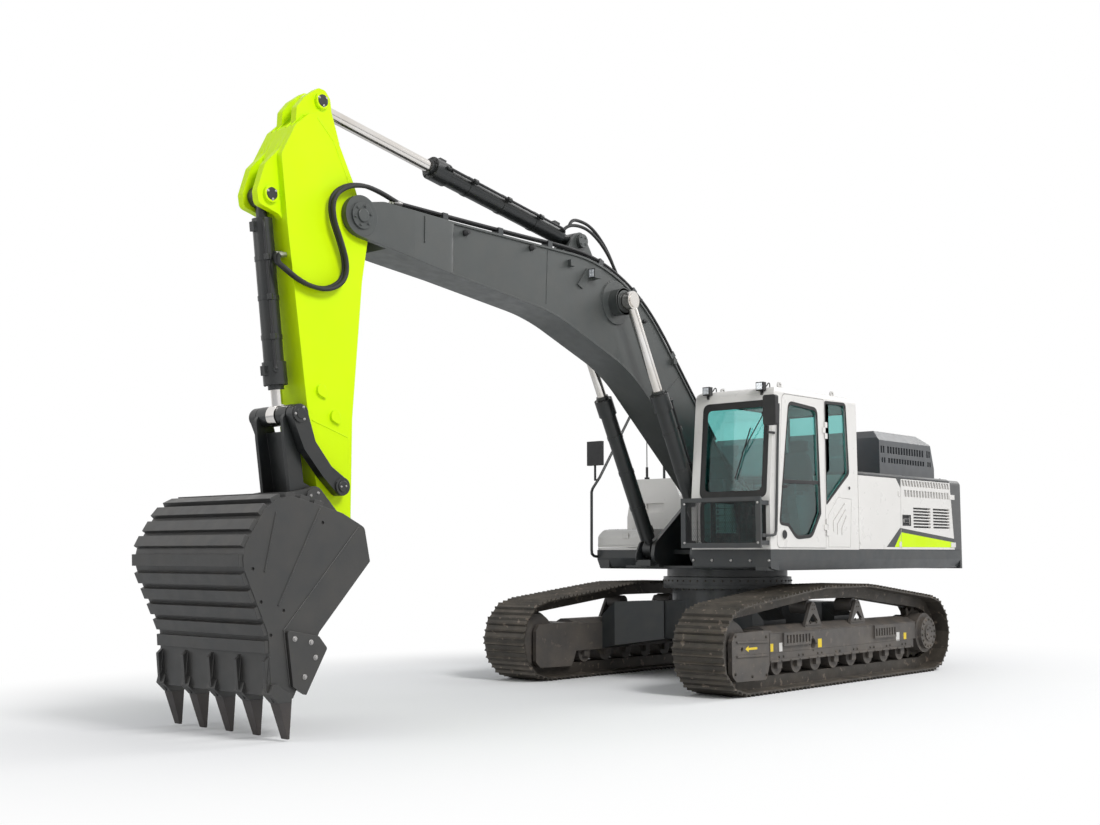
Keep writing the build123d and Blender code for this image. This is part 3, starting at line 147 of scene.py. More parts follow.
def dust_mask(make, position, amount, low_dust):
    """Patches on upper faces, and between the two heights of low_dust more of them low down."""
    normal = make("ShaderNodeNewGeometry").outputs["Normal"]
    upward = make("ShaderNodeSeparateXYZ", [("Vector", normal)]).outputs["Z"]
    facing = spanned(make, upward, -0.2, 1.0, 0.35, 1.0)
    mask = times(make, times(make, facing, noise_mask(make, position, 5, 0.25, 0.75, 10)), amount)
    if low_dust:
        height = make("ShaderNodeSeparateXYZ", [("Vector", position)]).outputs["Z"]
        mask = times(make, mask, spanned(make, height, *low_dust, 1.0, 0.25))
    return mask


EDGE = 0.006            # radius that painted edges are seen with, in metres
BARE_METAL = (0.25, 0.2, 0.16)


def paint(name, colour, roughness, grain, coat=0.0, metallic=0.0, dust=None, low_dust=None, wear=0.0,
          grain_scale=60, variation=0.06, shine=0.5):
    """Painted metal: slight unevenness, dust on upper faces and low down, chips and fine orange peel."""
    material, tree, shader, make = nodes_of(name)
    link = tree.links.new
    position = make("ShaderNodeTexCoord").outputs["Object"]
    dark = tuple(c * (1 - 2 * variation) for c in colour)
    base = mixed(make, noise_mask(make, position, 1.7, 0.3, 0.7), rgba(*colour), rgba(*dark))
    if dust:
        amount, dust_colour = dust
        base = mixed(make, dust_mask(make, position, amount, low_dust), base, rgba(*dust_colour))
    if wear:
        chips = noise_mask(make, position, 14, 0.62, 0.66, 12)
        base = mixed(make, times(make, chips, wear), base, rgba(*BARE_METAL))
    link(base, shader.inputs["Base Color"])
    link(spanned(make, noise_mask(make, position, 9, 0.2, 0.8, 8), 0.0, 1.0,
                 max(0.05, roughness - 0.08), min(1, roughness + 0.12)), shader.inputs["Roughness"])
    shader.inputs["Metallic"].default_value = metallic
    shader.inputs["Specular IOR Level"].default_value = shine
    shader.inputs["Coat Weight"].default_value = coat
    shader.inputs["Coat Roughness"].default_value = 0.12
    soft = make("ShaderNodeBevel", [("Radius", EDGE)], samples=4)
    fine = make("ShaderNodeTexNoise", [("Vector", position), ("Scale", grain_scale), ("Detail", 4)])
    peel = make("ShaderNodeBump", [("Height", fine.outputs["Fac"]), ("Strength", grain), ("Distance", 0.004),
                                   ("Normal", soft.outputs["Normal"])])
    link(peel.outputs["Normal"], shader.inputs["Normal"])
    return material


DUST = (0.21, 0.165, 0.12)
FINISHES = {
    "off_white": paint("off_white_paint", (0.76, 0.74, 0.71), 0.30, 0.03, coat=0.2, dust=(0.05, DUST),
                       variation=0.02),
    "lime": paint("lime_paint", (0.66, 0.93, 0.0), 0.40, 0.05, variation=0.03, shine=0.2),
    "boom_grey": paint("boom_grey", (0.050, 0.057, 0.056), 0.40, 0.05, coat=0.1, dust=(0.14, DUST)),
    "ram": paint("ram_black", (0.012, 0.015, 0.016), 0.34, 0.04, coat=0.1, dust=(0.12, DUST)),
    "dark": paint("dark_paint", (0.020, 0.026, 0.030), 0.36, 0.06, coat=0.2, dust=(0.22, DUST)),
    "hood": paint("hood_paint", (0.055, 0.062, 0.070), 0.34, 0.03, coat=0.25, dust=(0.18, DUST)),
    "sill": paint("sill_paint", (0.030, 0.033, 0.036), 0.3, 0.05, coat=0.3, dust=(0.15, DUST)),
    "frame": paint("dusty_frame", (0.075, 0.07, 0.066), 0.55, 0.25, dust=(0.75, (0.23, 0.185, 0.14)),
                   low_dust=(0.1, 1.0), wear=0.25),
    "track": paint("track_steel", (0.040, 0.036, 0.031), 0.5, 0.5, metallic=0.35,
                   dust=(0.55, (0.21, 0.175, 0.135)), wear=0.6, grain_scale=35),
    "bucket": paint("bucket_grey", (0.036, 0.037, 0.037), 0.42, 0.10, dust=(0.16, DUST)),
    "tooth": paint("tooth_steel", (0.05, 0.045, 0.045), 0.45, 0.25, metallic=0.3, dust=(0.25, DUST)),
    "black": paint("black_plastic", (0.012, 0.012, 0.013), 0.5, 0.10),
    "rubber": paint("black_rubber", (0.014, 0.014, 0.014), 0.6, 0.2, grain_scale=120),
    "iron": paint("cast_iron", (0.05, 0.05, 0.05), 0.6, 0.3),
    "steel": paint("bolt_steel", (0.42, 0.41, 0.40), 0.35, 0.1, metallic=0.9),
    "yellow": paint("yellow_mark", (0.85, 0.62, 0.02), 0.4, 0.02),
    "label": paint("blank_plate", (0.75, 0.73, 0.70), 0.4, 0.02),
    "fabric": paint("seat_fabric", (0.03, 0.032, 0.036), 0.85, 0.6, grain_scale=220),
    "interior": paint("interior_plastic", (0.06, 0.062, 0.066), 0.6, 0.15),
}


def chrome():
    """Hard-chromed rod, warm from oil."""
    material, tree, shader, make = nodes_of("chrome")
    position = make("ShaderNodeTexCoord").outputs["Object"]
    oil = noise_mask(make, position, 3, 0.35, 0.7)
    colour = mixed(make, oil, rgba(0.78, 0.76, 0.74), rgba(0.66, 0.62, 0.57))
    tree.links.new(colour, shader.inputs["Base Color"])
    shader.inputs["Metallic"].default_value = 1.0
    shader.inputs["Roughness"].default_value = 0.16
    return material


def glass():
    """Green-blue tinted safety glass, with faint streaks."""
    material, tree, shader, make = nodes_of("tinted_glass")
    position = make("ShaderNodeTexCoord").outputs["Object"]
    streaks = noise_mask(make, position, 2.2, 0.35, 0.7)
    colour = mixed(make, streaks, rgba(0.36, 0.68, 0.66), rgba(0.42, 0.74, 0.72))
    tree.links.new(colour, shader.inputs["Base Color"])
    shader.inputs["Transmission Weight"].default_value = 1.0
    shader.inputs["Roughness"].default_value = 0.02
    shader.inputs["IOR"].default_value = 1.45
    return material


def screen_mesh():
    """Dark sheet with a fine pattern of holes, behind the louvres; the holes carry painted shade, near-black
    for the dark space behind them.
    """
    material, tree, shader, make = nodes_of("punched_mesh")
    position = make("ShaderNodeTexCoord").outputs["Object"]
    holes = make("ShaderNodeTexVoronoi", [("Vector", position), ("Scale", 110), ("Randomness", 0.0)])
    solid = spanned(make, holes.outputs["Distance"], 0.30, 0.42)
    # painted shade: the holes are near-black, standing in for the dark inside seen through them
    colour = mixed(make, solid, rgba(0.004, 0.004, 0.005), rgba(0.045, 0.047, 0.05))
    tree.links.new(colour, shader.inputs["Base Color"])
    bump = make("ShaderNodeBump", [("Height", solid), ("Strength", 0.6), ("Distance", 0.002)])
    tree.links.new(bump.outputs["Normal"], shader.inputs["Normal"])
    shader.inputs["Roughness"].default_value = 0.5
    return material


def bright(name, colour, metallic, roughness):
    """Lamp glass or a mirror, slightly uneven."""
    material, tree, shader, make = nodes_of(name)
    position = make("ShaderNodeTexCoord").outputs["Object"]
    dim = tuple(c * 0.86 for c in colour)
    uneven = mixed(make, noise_mask(make, position, 40, 0.35, 0.65), rgba(*colour), rgba(*dim))
    tree.links.new(uneven, shader.inputs["Base Color"])
    shader.inputs["Metallic"].default_value = metallic
    shader.inputs["Roughness"].default_value = roughness
    shader.inputs["Coat Weight"].default_value = 0.8
    return material


FINISHES["chrome"] = chrome()
FINISHES["glass"] = glass()
FINISHES["mesh"] = screen_mesh()
FINISHES["lens"] = bright("lamp_glass", (0.72, 0.75, 0.78), 0.3, 0.12)
FINISHES["mirror"] = bright("mirror_glass", (0.62, 0.66, 0.70), 1.0, 0.03)

CAD_FINISH = {
    "off_white": ("cab_shell", "cab_door", "left_front_door", "left_rear_door", "right_rear_door",
                  "fuel_tank", "hydraulic_tank", "toolbox", "toolbox_lid"),
    "dark": ("carbody", "swing_bearing", "platform", "body_frame", "cab_guard", "handrail"),
    "hood": ("engine_hood",),
    "sill": ("counterweight",),
    "boom_grey": ("boom",),
    "ram": ("boom_ram_barrels", "arm_ram_barrel", "bucket_ram_barrel", "rocker_links", "bucket_link"),
    "track": ("track_left", "track_right", "sprockets"),
    "frame": ("track_frame_left", "track_frame_right", "idlers", "final_drives", "lower_rollers",
              "carrier_rollers"),
    "chrome": ("boom_ram_rods", "arm_ram_rod", "bucket_ram_rod"),
    "lime": ("arm",),
    "bucket": ("bucket",),
    "tooth": ("bucket_teeth",),
    "glass": ("cab_glass", "door_glass"),
    "fabric": ("operator_seat",),
    "interior": ("cab_consoles",),
    "black": ("mirrors",),
    "iron": ("engine",),
}
for finish, names in CAD_FINISH.items():
    for node in names:
        piece = frame["nodes"][node]
        piece.data.materials.clear()
        piece.data.materials.append(FINISHES[finish])


# -------------------------------------------- camera, floor and light
EYE = at(13369.5, 9056.9, 1400.6)
TARGET = at(3112.0, 0.0, 2799.6)
FOCAL_LENGTH, SENSOR_WIDTH = 44.31, 36    # in millimetres
LENS_SHIFT = (-0.0016, 0.0025)
FLOOR_HALF = 80

# name, place, target, size, power
LIGHTS = (("key", (5, 17, 16), (1, 0, 1.5), 6, 2750),
          ("fill", (17, -6, 8), (2, 0, 2), 9, 380),
          ("back", (-14, 5, 12), (0, 0, 2), 8, 900))


def placed(name, data):
    """A new object with this data, in the scene."""
    thing = bpy.data.objects.new(name, data)
    bpy.context.collection.objects.link(thing)
    return thing


def aimed(thing, place, target):
    """Puts a camera or a light at its place and turns it to its target."""
    thing.location = place
    thing.rotation_euler = (Vector(target) - Vector(place)).to_track_quat("-Z", "Y").to_euler()


def floor_material():
    """A pale floor that keeps the shadow round the machine and fades to plain white further out."""
    material, tree, shader, make = nodes_of("floor")
    shader.inputs["Base Color"].default_value = (0.93, 0.93, 0.93, 1)
    shader.inputs["Roughness"].default_value = 0.9
    position = make("ShaderNodeTexCoord").outputs["Object"]
    flat = make("ShaderNodeVectorMath", [(0, position), (1, (0.75, 1.25, 0))], operation="MULTIPLY")
    away = make("ShaderNodeVectorMath", [(0, flat.outputs["Vector"])], operation="LENGTH").outputs["Value"]
    fade = spanned(make, away, 3.2, 7.5, interpolation_type="SMOOTHSTEP")
    path = make("ShaderNodeLightPath")
    plain = make("ShaderNodeEmission", [("Color", rgba(1, 1, 1)), ("Strength", 1.0)])
    mask = times(make, fade, path.outputs["Is Camera Ray"])
    mix = make("ShaderNodeMixShader", [(0, mask), (1, shader.outputs[0]), (2, plain.outputs[0])])
    tree.links.new(mix.outputs[0], tree.nodes["Material Output"].inputs["Surface"])
    return material


def build_stage():
    """The camera at the photograph's view, a pale floor and soft light."""
    camera = bpy.data.cameras.new("camera")
    camera.sensor_width = SENSOR_WIDTH
    camera.lens = FOCAL_LENGTH
    camera.shift_x, camera.shift_y = LENS_SHIFT
    camera.clip_end = 200
    holder = placed("camera", camera)
    aimed(holder, EYE, TARGET)
    bpy.context.scene.camera = holder

    floor_mesh = bpy.data.meshes.new("floor")
    corners = [(x, y, 0) for x, y in rectangle(-FLOOR_HALF, FLOOR_HALF, -FLOOR_HALF, FLOOR_HALF)]
    floor_mesh.from_pydata(corners, [], [(0, 1, 2, 3)])
    floor_mesh.materials.append(floor_material())
    floor = placed("floor", floor_mesh)

    for name, place, target, size, power in LIGHTS:
        lamp = bpy.data.lights.new(name, "AREA")
        lamp.size = size
        lamp.energy = power
        aimed(placed(name, lamp), place, target)


def build_world():
    """Soft light from all round, where the camera, glass and gloss see plain white."""
    world = bpy.data.worlds.new("world")
    bpy.context.scene.world = world
    world.use_nodes = True
    tree = world.node_tree
    background = tree.nodes["Background"]
    background.inputs["Color"].default_value = (0.93, 0.96, 1.0, 1)
    background.inputs["Strength"].default_value = 0.42
    seen = tree.nodes.new("ShaderNodeBackground")
    seen.inputs["Color"].default_value = (1, 1, 1, 1)
    seen.inputs["Strength"].default_value = 1.0
    path = tree.nodes.new("ShaderNodeLightPath")
    mix = tree.nodes.new("ShaderNodeMixShader")
    shown = path.outputs["Is Camera Ray"]
    for ray in ("Is Transmission Ray", "Is Glossy Ray"):
        either = tree.nodes.new("ShaderNodeMath")
        either.operation = "MAXIMUM"
        tree.links.new(shown, either.inputs[0])
        tree.links.new(path.outputs[ray], either.inputs[1])
        shown = either.outputs[0]
    tree.links.new(shown, mix.inputs[0])
    tree.links.new(background.outputs[0], mix.inputs[1])
    tree.links.new(seen.outputs[0], mix.inputs[2])
    tree.links.new(mix.outputs[0], tree.nodes["World Output"].inputs["Surface"])


build_stage()
build_world()


# -------------------------------------------- forms
def square_to(axis):
    """An axis as a unit vector, and two directions square to it and to each other."""
    axis = Vector(axis).normalized()
    across = axis.orthogonal().normalized()
    return axis, across, axis.cross(across)


def circles(place, axis, profile, sides):
    """A ring of points round an axis for each row of height and radius."""
    axis, across, up = square_to(axis)
    return [[place + axis * height + (across * cos(tau * k / sides) + up * sin(tau * k / sides)) * radius
             for k in range(sides)] for height, radius in profile]


class Batch:
    """Many small forms of one finish that ride on one body, gathered in one mesh."""

    def __init__(self, name, finish, body):
        self.name, self.finish, self.body = name, finish, body
        self.points, self.faces, self.smooth = [], [], []

    def rings(self, rings, smooth=True, cap=True):
        """A skin through equal rings of points."""
        first, count = len(self.points), len(rings[0])
        for ring in rings:
            self.points += ring
        for n in range(len(rings) - 1):
            for k in range(count):
                a, b = first + n * count + k, first + n * count + (k + 1) % count
                self.faces.append((a, b, b + count, a + count))
                self.smooth.append(smooth)
        if cap:
            last = first + (len(rings) - 1) * count
            self.faces += [tuple(range(first + count - 1, first - 1, -1)), tuple(range(last, last + count))]
            self.smooth += [False, False]

    def turned(self, place, axis, profile, sides=16):
        """A turned form about an axis, from rows of height and radius."""
        self.rings(circles(place, axis, profile, sides), smooth=sides > 8)

    def hoop(self, place, axis, inner, outer, height, sides=28):
        """A ring round something that may slide inside it."""
        section = ((0, inner), (0, outer), (height, outer), (height, inner), (0, inner))
        self.rings(circles(place, axis, section, sides), smooth=False, cap=False)

    def bolt(self, place, axis, size):
        """A hexagon head on its washer."""
        axis = Vector(axis).normalized()
        self.turned(place - axis * 0.002, axis, ((0, size * 1.35), (0.005, size * 1.3)), 12)
        self.turned(place, axis, ((0, size), (size * 0.75, size), (size * 0.9, size * 0.82)), 6)

    def ring(self, centre, axis, radius, count, size, start=0.0):
        """A circle of bolts."""
        axis, across, up = square_to(axis)
        for n in range(count):
            angle = start + tau * n / count
            self.bolt(centre + (across * cos(angle) + up * sin(angle)) * radius, axis, size)

    def plate(self, corners, normal, thickness, lift=0.0):
        """A thin plate from its corners in order, standing proud along its normal, edges chamfered."""
        normal = Vector(normal).normalized()
        middle = sum(corners, Vector()) / len(corners)
        edge = min(0.002, thickness / 2)
        low = [c + normal * lift for c in corners]
        high = [c + normal * (lift + thickness - edge) for c in corners]
        top = [c + (middle - c).normalized() * edge + normal * (lift + thickness) for c in corners]
        self.rings([low, high, top], smooth=False)

    def brick(self, low, high):
        """A block between two corners, its upper edges chamfered."""
        corners = [Vector((x, y, low.z)) for x, y in rectangle(low.x, high.x, low.y, high.y)]
        self.plate(corners, UP, high.z - low.z)

    def bar(self, start, end, radius, sides=10):
        """A round bar between two points."""
        self.turned(start, end - start, ((0, radius), ((end - start).length, radius)), sides)

    def bead(self, line, radius, step=0.011):
        """A weld bead along a line of points: close overlapping ripples, half sunk in its corner."""
        rings = []
        for start, end in zip(line, line[1:]):
            across, up = square_to(end - start)[1:]
            count = max(2, int((end - start).length / step))
            for n in range(count + 1):
                middle = start.lerp(end, n / count)
                size = radius * (1.0 if n % 2 else 0.72)
                rings.append([middle + (across * cos(tau * k / 6) + up * sin(tau * k / 6)) * size
                              for k in range(6)])
        self.rings(rings)

    def seam(self, y, corners, radius):
        """A weld bead in the upright plane at this y, from rows of x and z."""
        self.bead(standing(corners, y), radius)

    def made(self):
        """The object, with its normals pointing outwards."""
        mesh = bpy.data.meshes.new(self.name)
        mesh.from_pydata([tuple(p) for p in self.points], [], self.faces)
        mesh.polygons.foreach_set("use_smooth", self.smooth)
        form = bmesh.new()
        form.from_mesh(mesh)
        bmesh.ops.recalc_face_normals(form, faces=form.faces)
        form.to_mesh(mesh)
        form.free()
        mesh.materials.append(FINISHES[self.finish])
        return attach(placed(self.name, mesh), self.body)


def hose(name, places, radius, finish, body):
    """A smooth line of round section through control points."""
    line = bpy.data.curves.new(name, "CURVE")
    line.dimensions = "3D"
    line.bevel_depth = radius
    line.bevel_resolution = 3
    line.resolution_u = 6
    line.use_fill_caps = True
    spline = line.splines.new("NURBS")
    spline.points.add(len(places) - 1)
    for point, place in zip(spline.points, places):
        point.co = (*place, 1)
    spline.use_endpoint_u = True
    spline.order_u = 3
    line.materials.append(FINISHES[finish])
    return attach(placed(name, line), body)


def bent_hose(name, places, radius, finish, first):
    """A hose across a joint: the same line as a mesh, left in place on no body."""
    line = hose(name, places, radius, finish, first)
    line.parent = None
    mesh = bpy.data.meshes.new_from_object(line.evaluated_get(bpy.context.evaluated_depsgraph_get()))
    bpy.data.objects.remove(line)
    mesh.name = name
    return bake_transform(placed(name, mesh))


CORNER_STEPS = 5


def soft_corners(corners):
    """The points of a closed outline, from rows of two places and a corner radius if there is one."""
    points = []
    count = len(corners)
    for n, (x, z, *round_off) in enumerate(corners):
        here = Vector((x, z))
        if not round_off:
            points.append(here)
            continue
        back = Vector(corners[n - 1][:2]) - here
        ahead = Vector(corners[(n + 1) % count][:2]) - here
        reach = min(round_off[0] / max(0.2, sin(back.angle(ahead) / 2)), back.length / 2, ahead.length / 2)
        start, end = here + back.normalized() * reach, here + ahead.normalized() * reach
        for k in range(CORNER_STEPS + 1):
            t = k / CORNER_STEPS
            points.append(start * (1 - t) ** 2 + here * 2 * t * (1 - t) + end * t * t)
    return points


# -------------------------------------------- side stripes and blank plates
STRIPE = {
    "left_front_door": {
        "dark": [(-1099, 1478), (-1442, 1706), (-1461, 1704), (-1459, 1640), (-1293, 1478)],
        "lime": [(-1293, 1478), (-1459, 1640), (-1455, 1478)]},
    "left_rear_door": {
        "dark": [(-1473, 1703), (-2896, 1588), (-2896, 1540), (-1474, 1653), (-1471, 1650)],
        "lime": [(-1466, 1478), (-1471, 1650), (-1474, 1653), (-2896, 1540), (-2896, 1478)]},
}
STRIPE_HIGH = 0.0012
TANK_FACE, TANK_REAR = 1486, -1385


def band(name, finish, body, corners, y):
    """One band of colour on an upright face."""
    strip = Batch(name, finish, body)
    strip.plate(standing(corners, y), LEFT if y > 0 else -LEFT, STRIPE_HIGH)
    strip.made()


for door, bands in STRIPE.items():
    for finish, corners in bands.items():
        band(f"stripe_{finish}_{door}", finish, door, corners, PANEL_FACE)
# on the right the stripe runs over the rear door and ends on the tank
for finish, top in (("dark", 1668), ("lime", 1570)):
    band(f"stripe_{finish}_right_rear_door", finish, "right_rear_door", STRIPE["left_rear_door"][finish],
         -PANEL_FACE)
    front = [(max(x, TANK_REAR), min(z, top)) for x, z in STRIPE["left_front_door"][finish]]
    band(f"stripe_{finish}_right_tank", finish, "upper", front, -TANK_FACE)

# plates and arrows on the track frames, all blank: x, z, half the width and half the height
FRAME_PLATES = {"yellow": ((1401, 445, 34, 40), (441, 447, 40, 46), (-1512, 434, 34, 40)),
                "label": ((1224, 442, 30, 46), (-1333, 436, 42, 50))}
ARROW = ((1882, 455), (1822, 487), (1822, 467), (1665, 467), (1665, 443), (1822, 443), (1822, 423))
for name, side in (("left", 1), ("right", -1)):
    face = FRAME_FACE * side
    for finish, spots in FRAME_PLATES.items():
        plates = Batch(f"frame_plates_{finish}_{name}", finish, "undercarriage")
        for x, z, wide, high in spots:
            plates.plate(standing(rectangle(x - wide, x + wide, z - high, z + high), face),
                         LEFT * side, MARK_HIGH)
        if finish == "yellow":
            plates.plate(standing(ARROW, face), LEFT * side, MARK_HIGH)
        plates.made()


# -------------------------------------------- bolts
def ends(pin, half):
    """Both ends of a pin that lies across the machine: the point and the outward direction."""
    middle = at(pin[0], 0, pin[1])
    return ((middle + LEFT * half, LEFT), (middle - LEFT * half, -LEFT))


def pin_bolts(batch, pin, half, radius, count, size, start=0.0):
    """A circle of bolts on both ends of a pin."""
    for place, out in ends(pin, half):
        batch.ring(place, out, radius, count, size, start)


bolts = Batch("undercarriage_bolts", "track", "undercarriage")
SPROCKET = (-2020, 452)
for side in (1, -1):
    # round the final drive, and on its hub, which stands 15 mm further out
    for y, radius, count, size in ((1530, 0.160, 14, 0.013), (1544.994, 0.062, 6, 0.010)):
        bolts.ring(at(SPROCKET[0], side * y, SPROCKET[1]), LEFT * side, radius, count, size)
for side in (1, -1):
    # cover of the idler guard, roller axles, carrier brackets, tensioner cover and step pads
    for x, z in ((1500, 560), (1500, 180), (2050, 590), (2060, 220), (1760, 180)):
        bolts.bolt(at(x, side * FRAME_FACE, z), LEFT * side, 0.013)
    for n in range(8):
        for dx in (-42, 42):
            bolts.bolt(at(-1480 + 385 * n + dx, side * FRAME_FACE, 345), LEFT * side, 0.011)
    for x in (480, -490):
        for dx in (-62, 62):
            bolts.bolt(at(x + dx, side * BRACKET_FACE, 668), LEFT * side, 0.012)
        bolts.ring(at(x, side * BRACKET_FACE, 828), LEFT * side, 0.030, 4, 0.007)
    bolts.ring(at(581, side * FRAME_FACE, 450), LEFT * side, 0.070, 4, 0.009, tau / 8)
    for x in range(-1650, 1400, 180):
        bolts.bolt(at(x, side * 1494, 306), LEFT * side, 0.008)
bolts.made()
bearing = Batch("swing_ring_bolts", "track", "undercarriage")
bearing.ring(at(0, 0, 1005), -UP, 0.700, 44, 0.014)
for n in range(48):
    angle = tau * n / 48
    out = Vector((cos(angle), sin(angle), 0))
    bearing.bolt(at(0, 0, 1092) + out * 0.745, out, 0.009)
bearing.made()

keepers = Batch("pin_bolts_upper", "boom_grey", "upper")
pin_bolts(keepers, BOOM_FOOT, 0.314, 0.052, 4, 0.012)
pin_bolts(keepers, BOOM_RAM_BASE, 0.500, 0.060, 4, 0.012)
keepers.made()

caps = Batch("pin_bolts_boom", "boom_grey", "boom")
for place, out in ends(BOOM_NOSE, 0.278):
    caps.ring(place, out, 0.088, 6, 0.013)
    caps.turned(place, out, ((0, 0.060), (0.010, 0.060), (0.014, 0.052)), 28)
pin_bolts(caps, ARM_RAM_BASE, 0.150, 0.046, 4, 0.010)
for place, out in ends(BOOM_RAM_EYE, 0.322):
    caps.hoop(place - out * 0.012, out, 0.120, 0.146, 0.012, 36)
caps.made()

pins = Batch("pin_ends_arm", "ram", "arm")
for pin, half, radius in ((ARM_RAM_EYE, 162, 52), (BUCKET_RAM_BASE, 162, 52), (ROCKER_PIN, 306, 48),
                          (BUCKET_PIN, 268, 50)):
    rim, face = (radius + 1) / 1000, (radius - 6) / 1000
    for place, out in ends(pin, half / 1000):
        pins.turned(place, out, ((-0.004, rim), (0.002, rim), (0.004, face)), 28)
pins.made()
keepers = Batch("pin_bolts_arm", "steel", "arm")
pin_bolts(keepers, ARM_RAM_EYE, 0.162, 0.044, 3, 0.011, 0.4)
pin_bolts(keepers, BUCKET_RAM_BASE, 0.162, 0.044, 3, 0.011, 0.4)
pin_bolts(keepers, ROCKER_PIN, 0.306, 0.026, 2, 0.010, 0.9)
pin_bolts(keepers, BUCKET_PIN, 0.268, 0.028, 2, 0.010, 0.5)
keepers.made()
keepers = Batch("pin_bolts_rocker", "steel", "rocker_links")
pin_bolts(keepers, LINK_TOP, 0.302, 0.056, 3, 0.009, 0.9)
keepers.made()
keepers = Batch("pin_bolts_bucket", "steel", "bucket")
pin_bolts(keepers, LINK_PIN, 0.282, 0.055, 4, 0.010, 0.3)
for side in (1, -1):
    # side cutters
    for x, z in ((6900, 760), (6745, 727), (6700, 610), (6800, 470)):
        keepers.bolt(at(x, side * 757, z), LEFT * side, 0.016)
keepers.made()


# -------------------------------------------- weld beads
def round_pin(pin, y, radius, steps):
    """A closed circle of points round a pin, in the upright plane at this y."""
    return [at(pin[0] + radius * cos(tau * k / steps), y, pin[1] + radius * sin(tau * k / steps))
            for k in range(steps + 1)]


welds = Batch("boom_welds", "boom_grey", "boom")
for side in (1, -1):
    web = side * BOOM_WEB
    welds.seam(web, [(3390, 4430), (3412, 3880)], 0.005)
    welds.seam(web, [(1139, 3393), (1519, 3105)], 0.005)
    welds.seam(side * 233, [(5110, 4450), (5110, 4200)], 0.005)
    welds.bead(round_pin(BOOM_RAM_EYE, web, 233, 36), 0.007)
    welds.bead(round_pin(BOOM_FOOT, side * 206, 170, 24), 0.007)
welds.made()
welds = Batch("arm_welds", "lime", "arm")
for side in (1, -1):
    web = side * ARM_WEB
    for half in (62, 132):
        welds.seam(side * half, [(6040, 4930), (6110, 4978), (6335, 5096), (6440, 5085), (6555, 4960)], 0.006)
        welds.seam(side * half, [(6566, 4930), (6690, 4690), (6640, 4210)], 0.006)
    welds.seam(web, [(5925, 4480), (6150, 4905), (6330, 5070)], 0.004)
    welds.seam(web, [(6330, 2500), (5945, 2380)], 0.006)
    welds.seam(web, [(6235, 1815), (5935, 1700)], 0.005)
welds.made()
welds = Batch("bucket_welds", "bucket", "bucket")
for side in (1, -1):
    for corners in ([(6657, 1752), (7038, 1011)], [(6264, 1612), (6987, 820)], [(7074, 1716), (7170, 1261)]):
        welds.seam(side * 725, corners, 0.009)
    for half in (203, 262):
        welds.seam(side * half, [(6470, 1722), (6700, 1792), (6900, 1830)], 0.010)
    welds.seam(side * 726, [(6982, 824), (6915, 400)], 0.008)
for n in range(5):
    # both sides of each tooth's adapter
    y = (n - 2) * 353
    for half in (-17, 17):
        welds.seam(y + half, [(7104, 640), (7120, 440)], 0.007)
welds.made()
welds = Batch("frame_welds", "frame", "undercarriage")
for side in (1, -1):
    for x in (480, -490):
        welds.seam(side * 1431, [(x - 150, 640), (x + 150, 640)], 0.007)
    welds.bead(standing([(-1780, 590), (1430, 590)], side * FRAME_FACE), 0.006, 0.016)
    welds.bead(standing([(-1720, 395), (1430, 395)], side * FRAME_FACE), 0.005, 0.016)
    welds.seam(side * 1481, [(1431, 300), (1431, 600)], 0.007)
welds.made()


# -------------------------------------------- rams: lines, glands and fittings
def ram_lines(name, base, eye, y, reach, outer, body, lean, shoulder=140):
    """The hard line along a barrel, its clamps and the bolts round its gland."""
    start, end = at(base[0], y, base[1]), at(eye[0], y, eye[1])
    along = (end - start).normalized()
    side = (LEFT * lean[0] + along.cross(LEFT) * lean[1]).normalized()
    fittings = Batch(f"{name}_fittings", "ram", body)
    gland = start + along * (reach - 40) / 1000
    fittings.ring(gland, along, (outer + 3) / 1000, 8, 0.009)
    offset = side * (outer + 34) / 1000
    low, high = start + along * (shoulder + 150) / 1000, start + along * (reach - 250) / 1000
    for share in (0.18, 0.5, 0.82):
        middle = low.lerp(high, share)
        fittings.hoop(middle - along * 0.02, along, (outer - 4) / 1000, (outer + 5) / 1000, 0.04)
        fittings.turned(middle + offset - along * 0.024, along, ((0, 0.026), (0.048, 0.026)), 8)
        fittings.bar(middle + side * outer / 1000, middle + offset, 0.012, 8)
    tip = start + along * (reach - 160) / 1000
    fittings.bar(tip + side * (outer + 10) / 1000, tip + side * (outer + 48) / 1000, 0.022, 12)
    fittings.made()
    hose(f"{name}_line", [tip + side * (outer + 46) / 1000, tip + offset - along * 0.02, high + offset,
                          low + offset, low + offset - along * 0.10,
                          low + side * (outer - 8) / 1000 - along * 0.14], 0.013, "black", body)


for name, side in (("left", 1), ("right", -1)):
    ram_lines(f"{name}_boom_ram", BOOM_RAM_BASE, BOOM_RAM_EYE, side * 385, 1900, 85, "boom_ram_barrels",
              (side * 0.45, 0.9))
ram_lines("arm_ram", ARM_RAM_BASE, ARM_RAM_EYE, 0, 2120, 95, "arm_ram_barrel", (1, 0.2), 230)
ram_lines("bucket_ram", BUCKET_RAM_BASE, LINK_TOP, 0, 1600, 84, "bucket_ram_barrel", (1, 0.6), 180)

# -------------------------------------------- pipes along the boom
BEND_MIDDLE, BEND_RADIUS = (3011, 2461), 2019     # an arc close to the boom's back
PIPE_LIFT = 46                            # the pipes' height over the boom's back


def over_boom(y):
    """Along the boom's back: up the straight, over the bend and on to the nose."""
    reach = BEND_RADIUS + PIPE_LIFT
    bend = [(BEND_MIDDLE[0] + reach * cos(radians(turn)), BEND_MIDDLE[1] + reach * sin(radians(turn)))
            for turn in (137, 122, 106, 91)]
    start = [(x - 0.74 * PIPE_LIFT, z + 0.67 * PIPE_LIFT) for x, z in ((500, 2678), (1150, 3389))]
    return standing(start + bend + [(3900, 4466 + PIPE_LIFT), (5380, 4476 + PIPE_LIFT)], y)


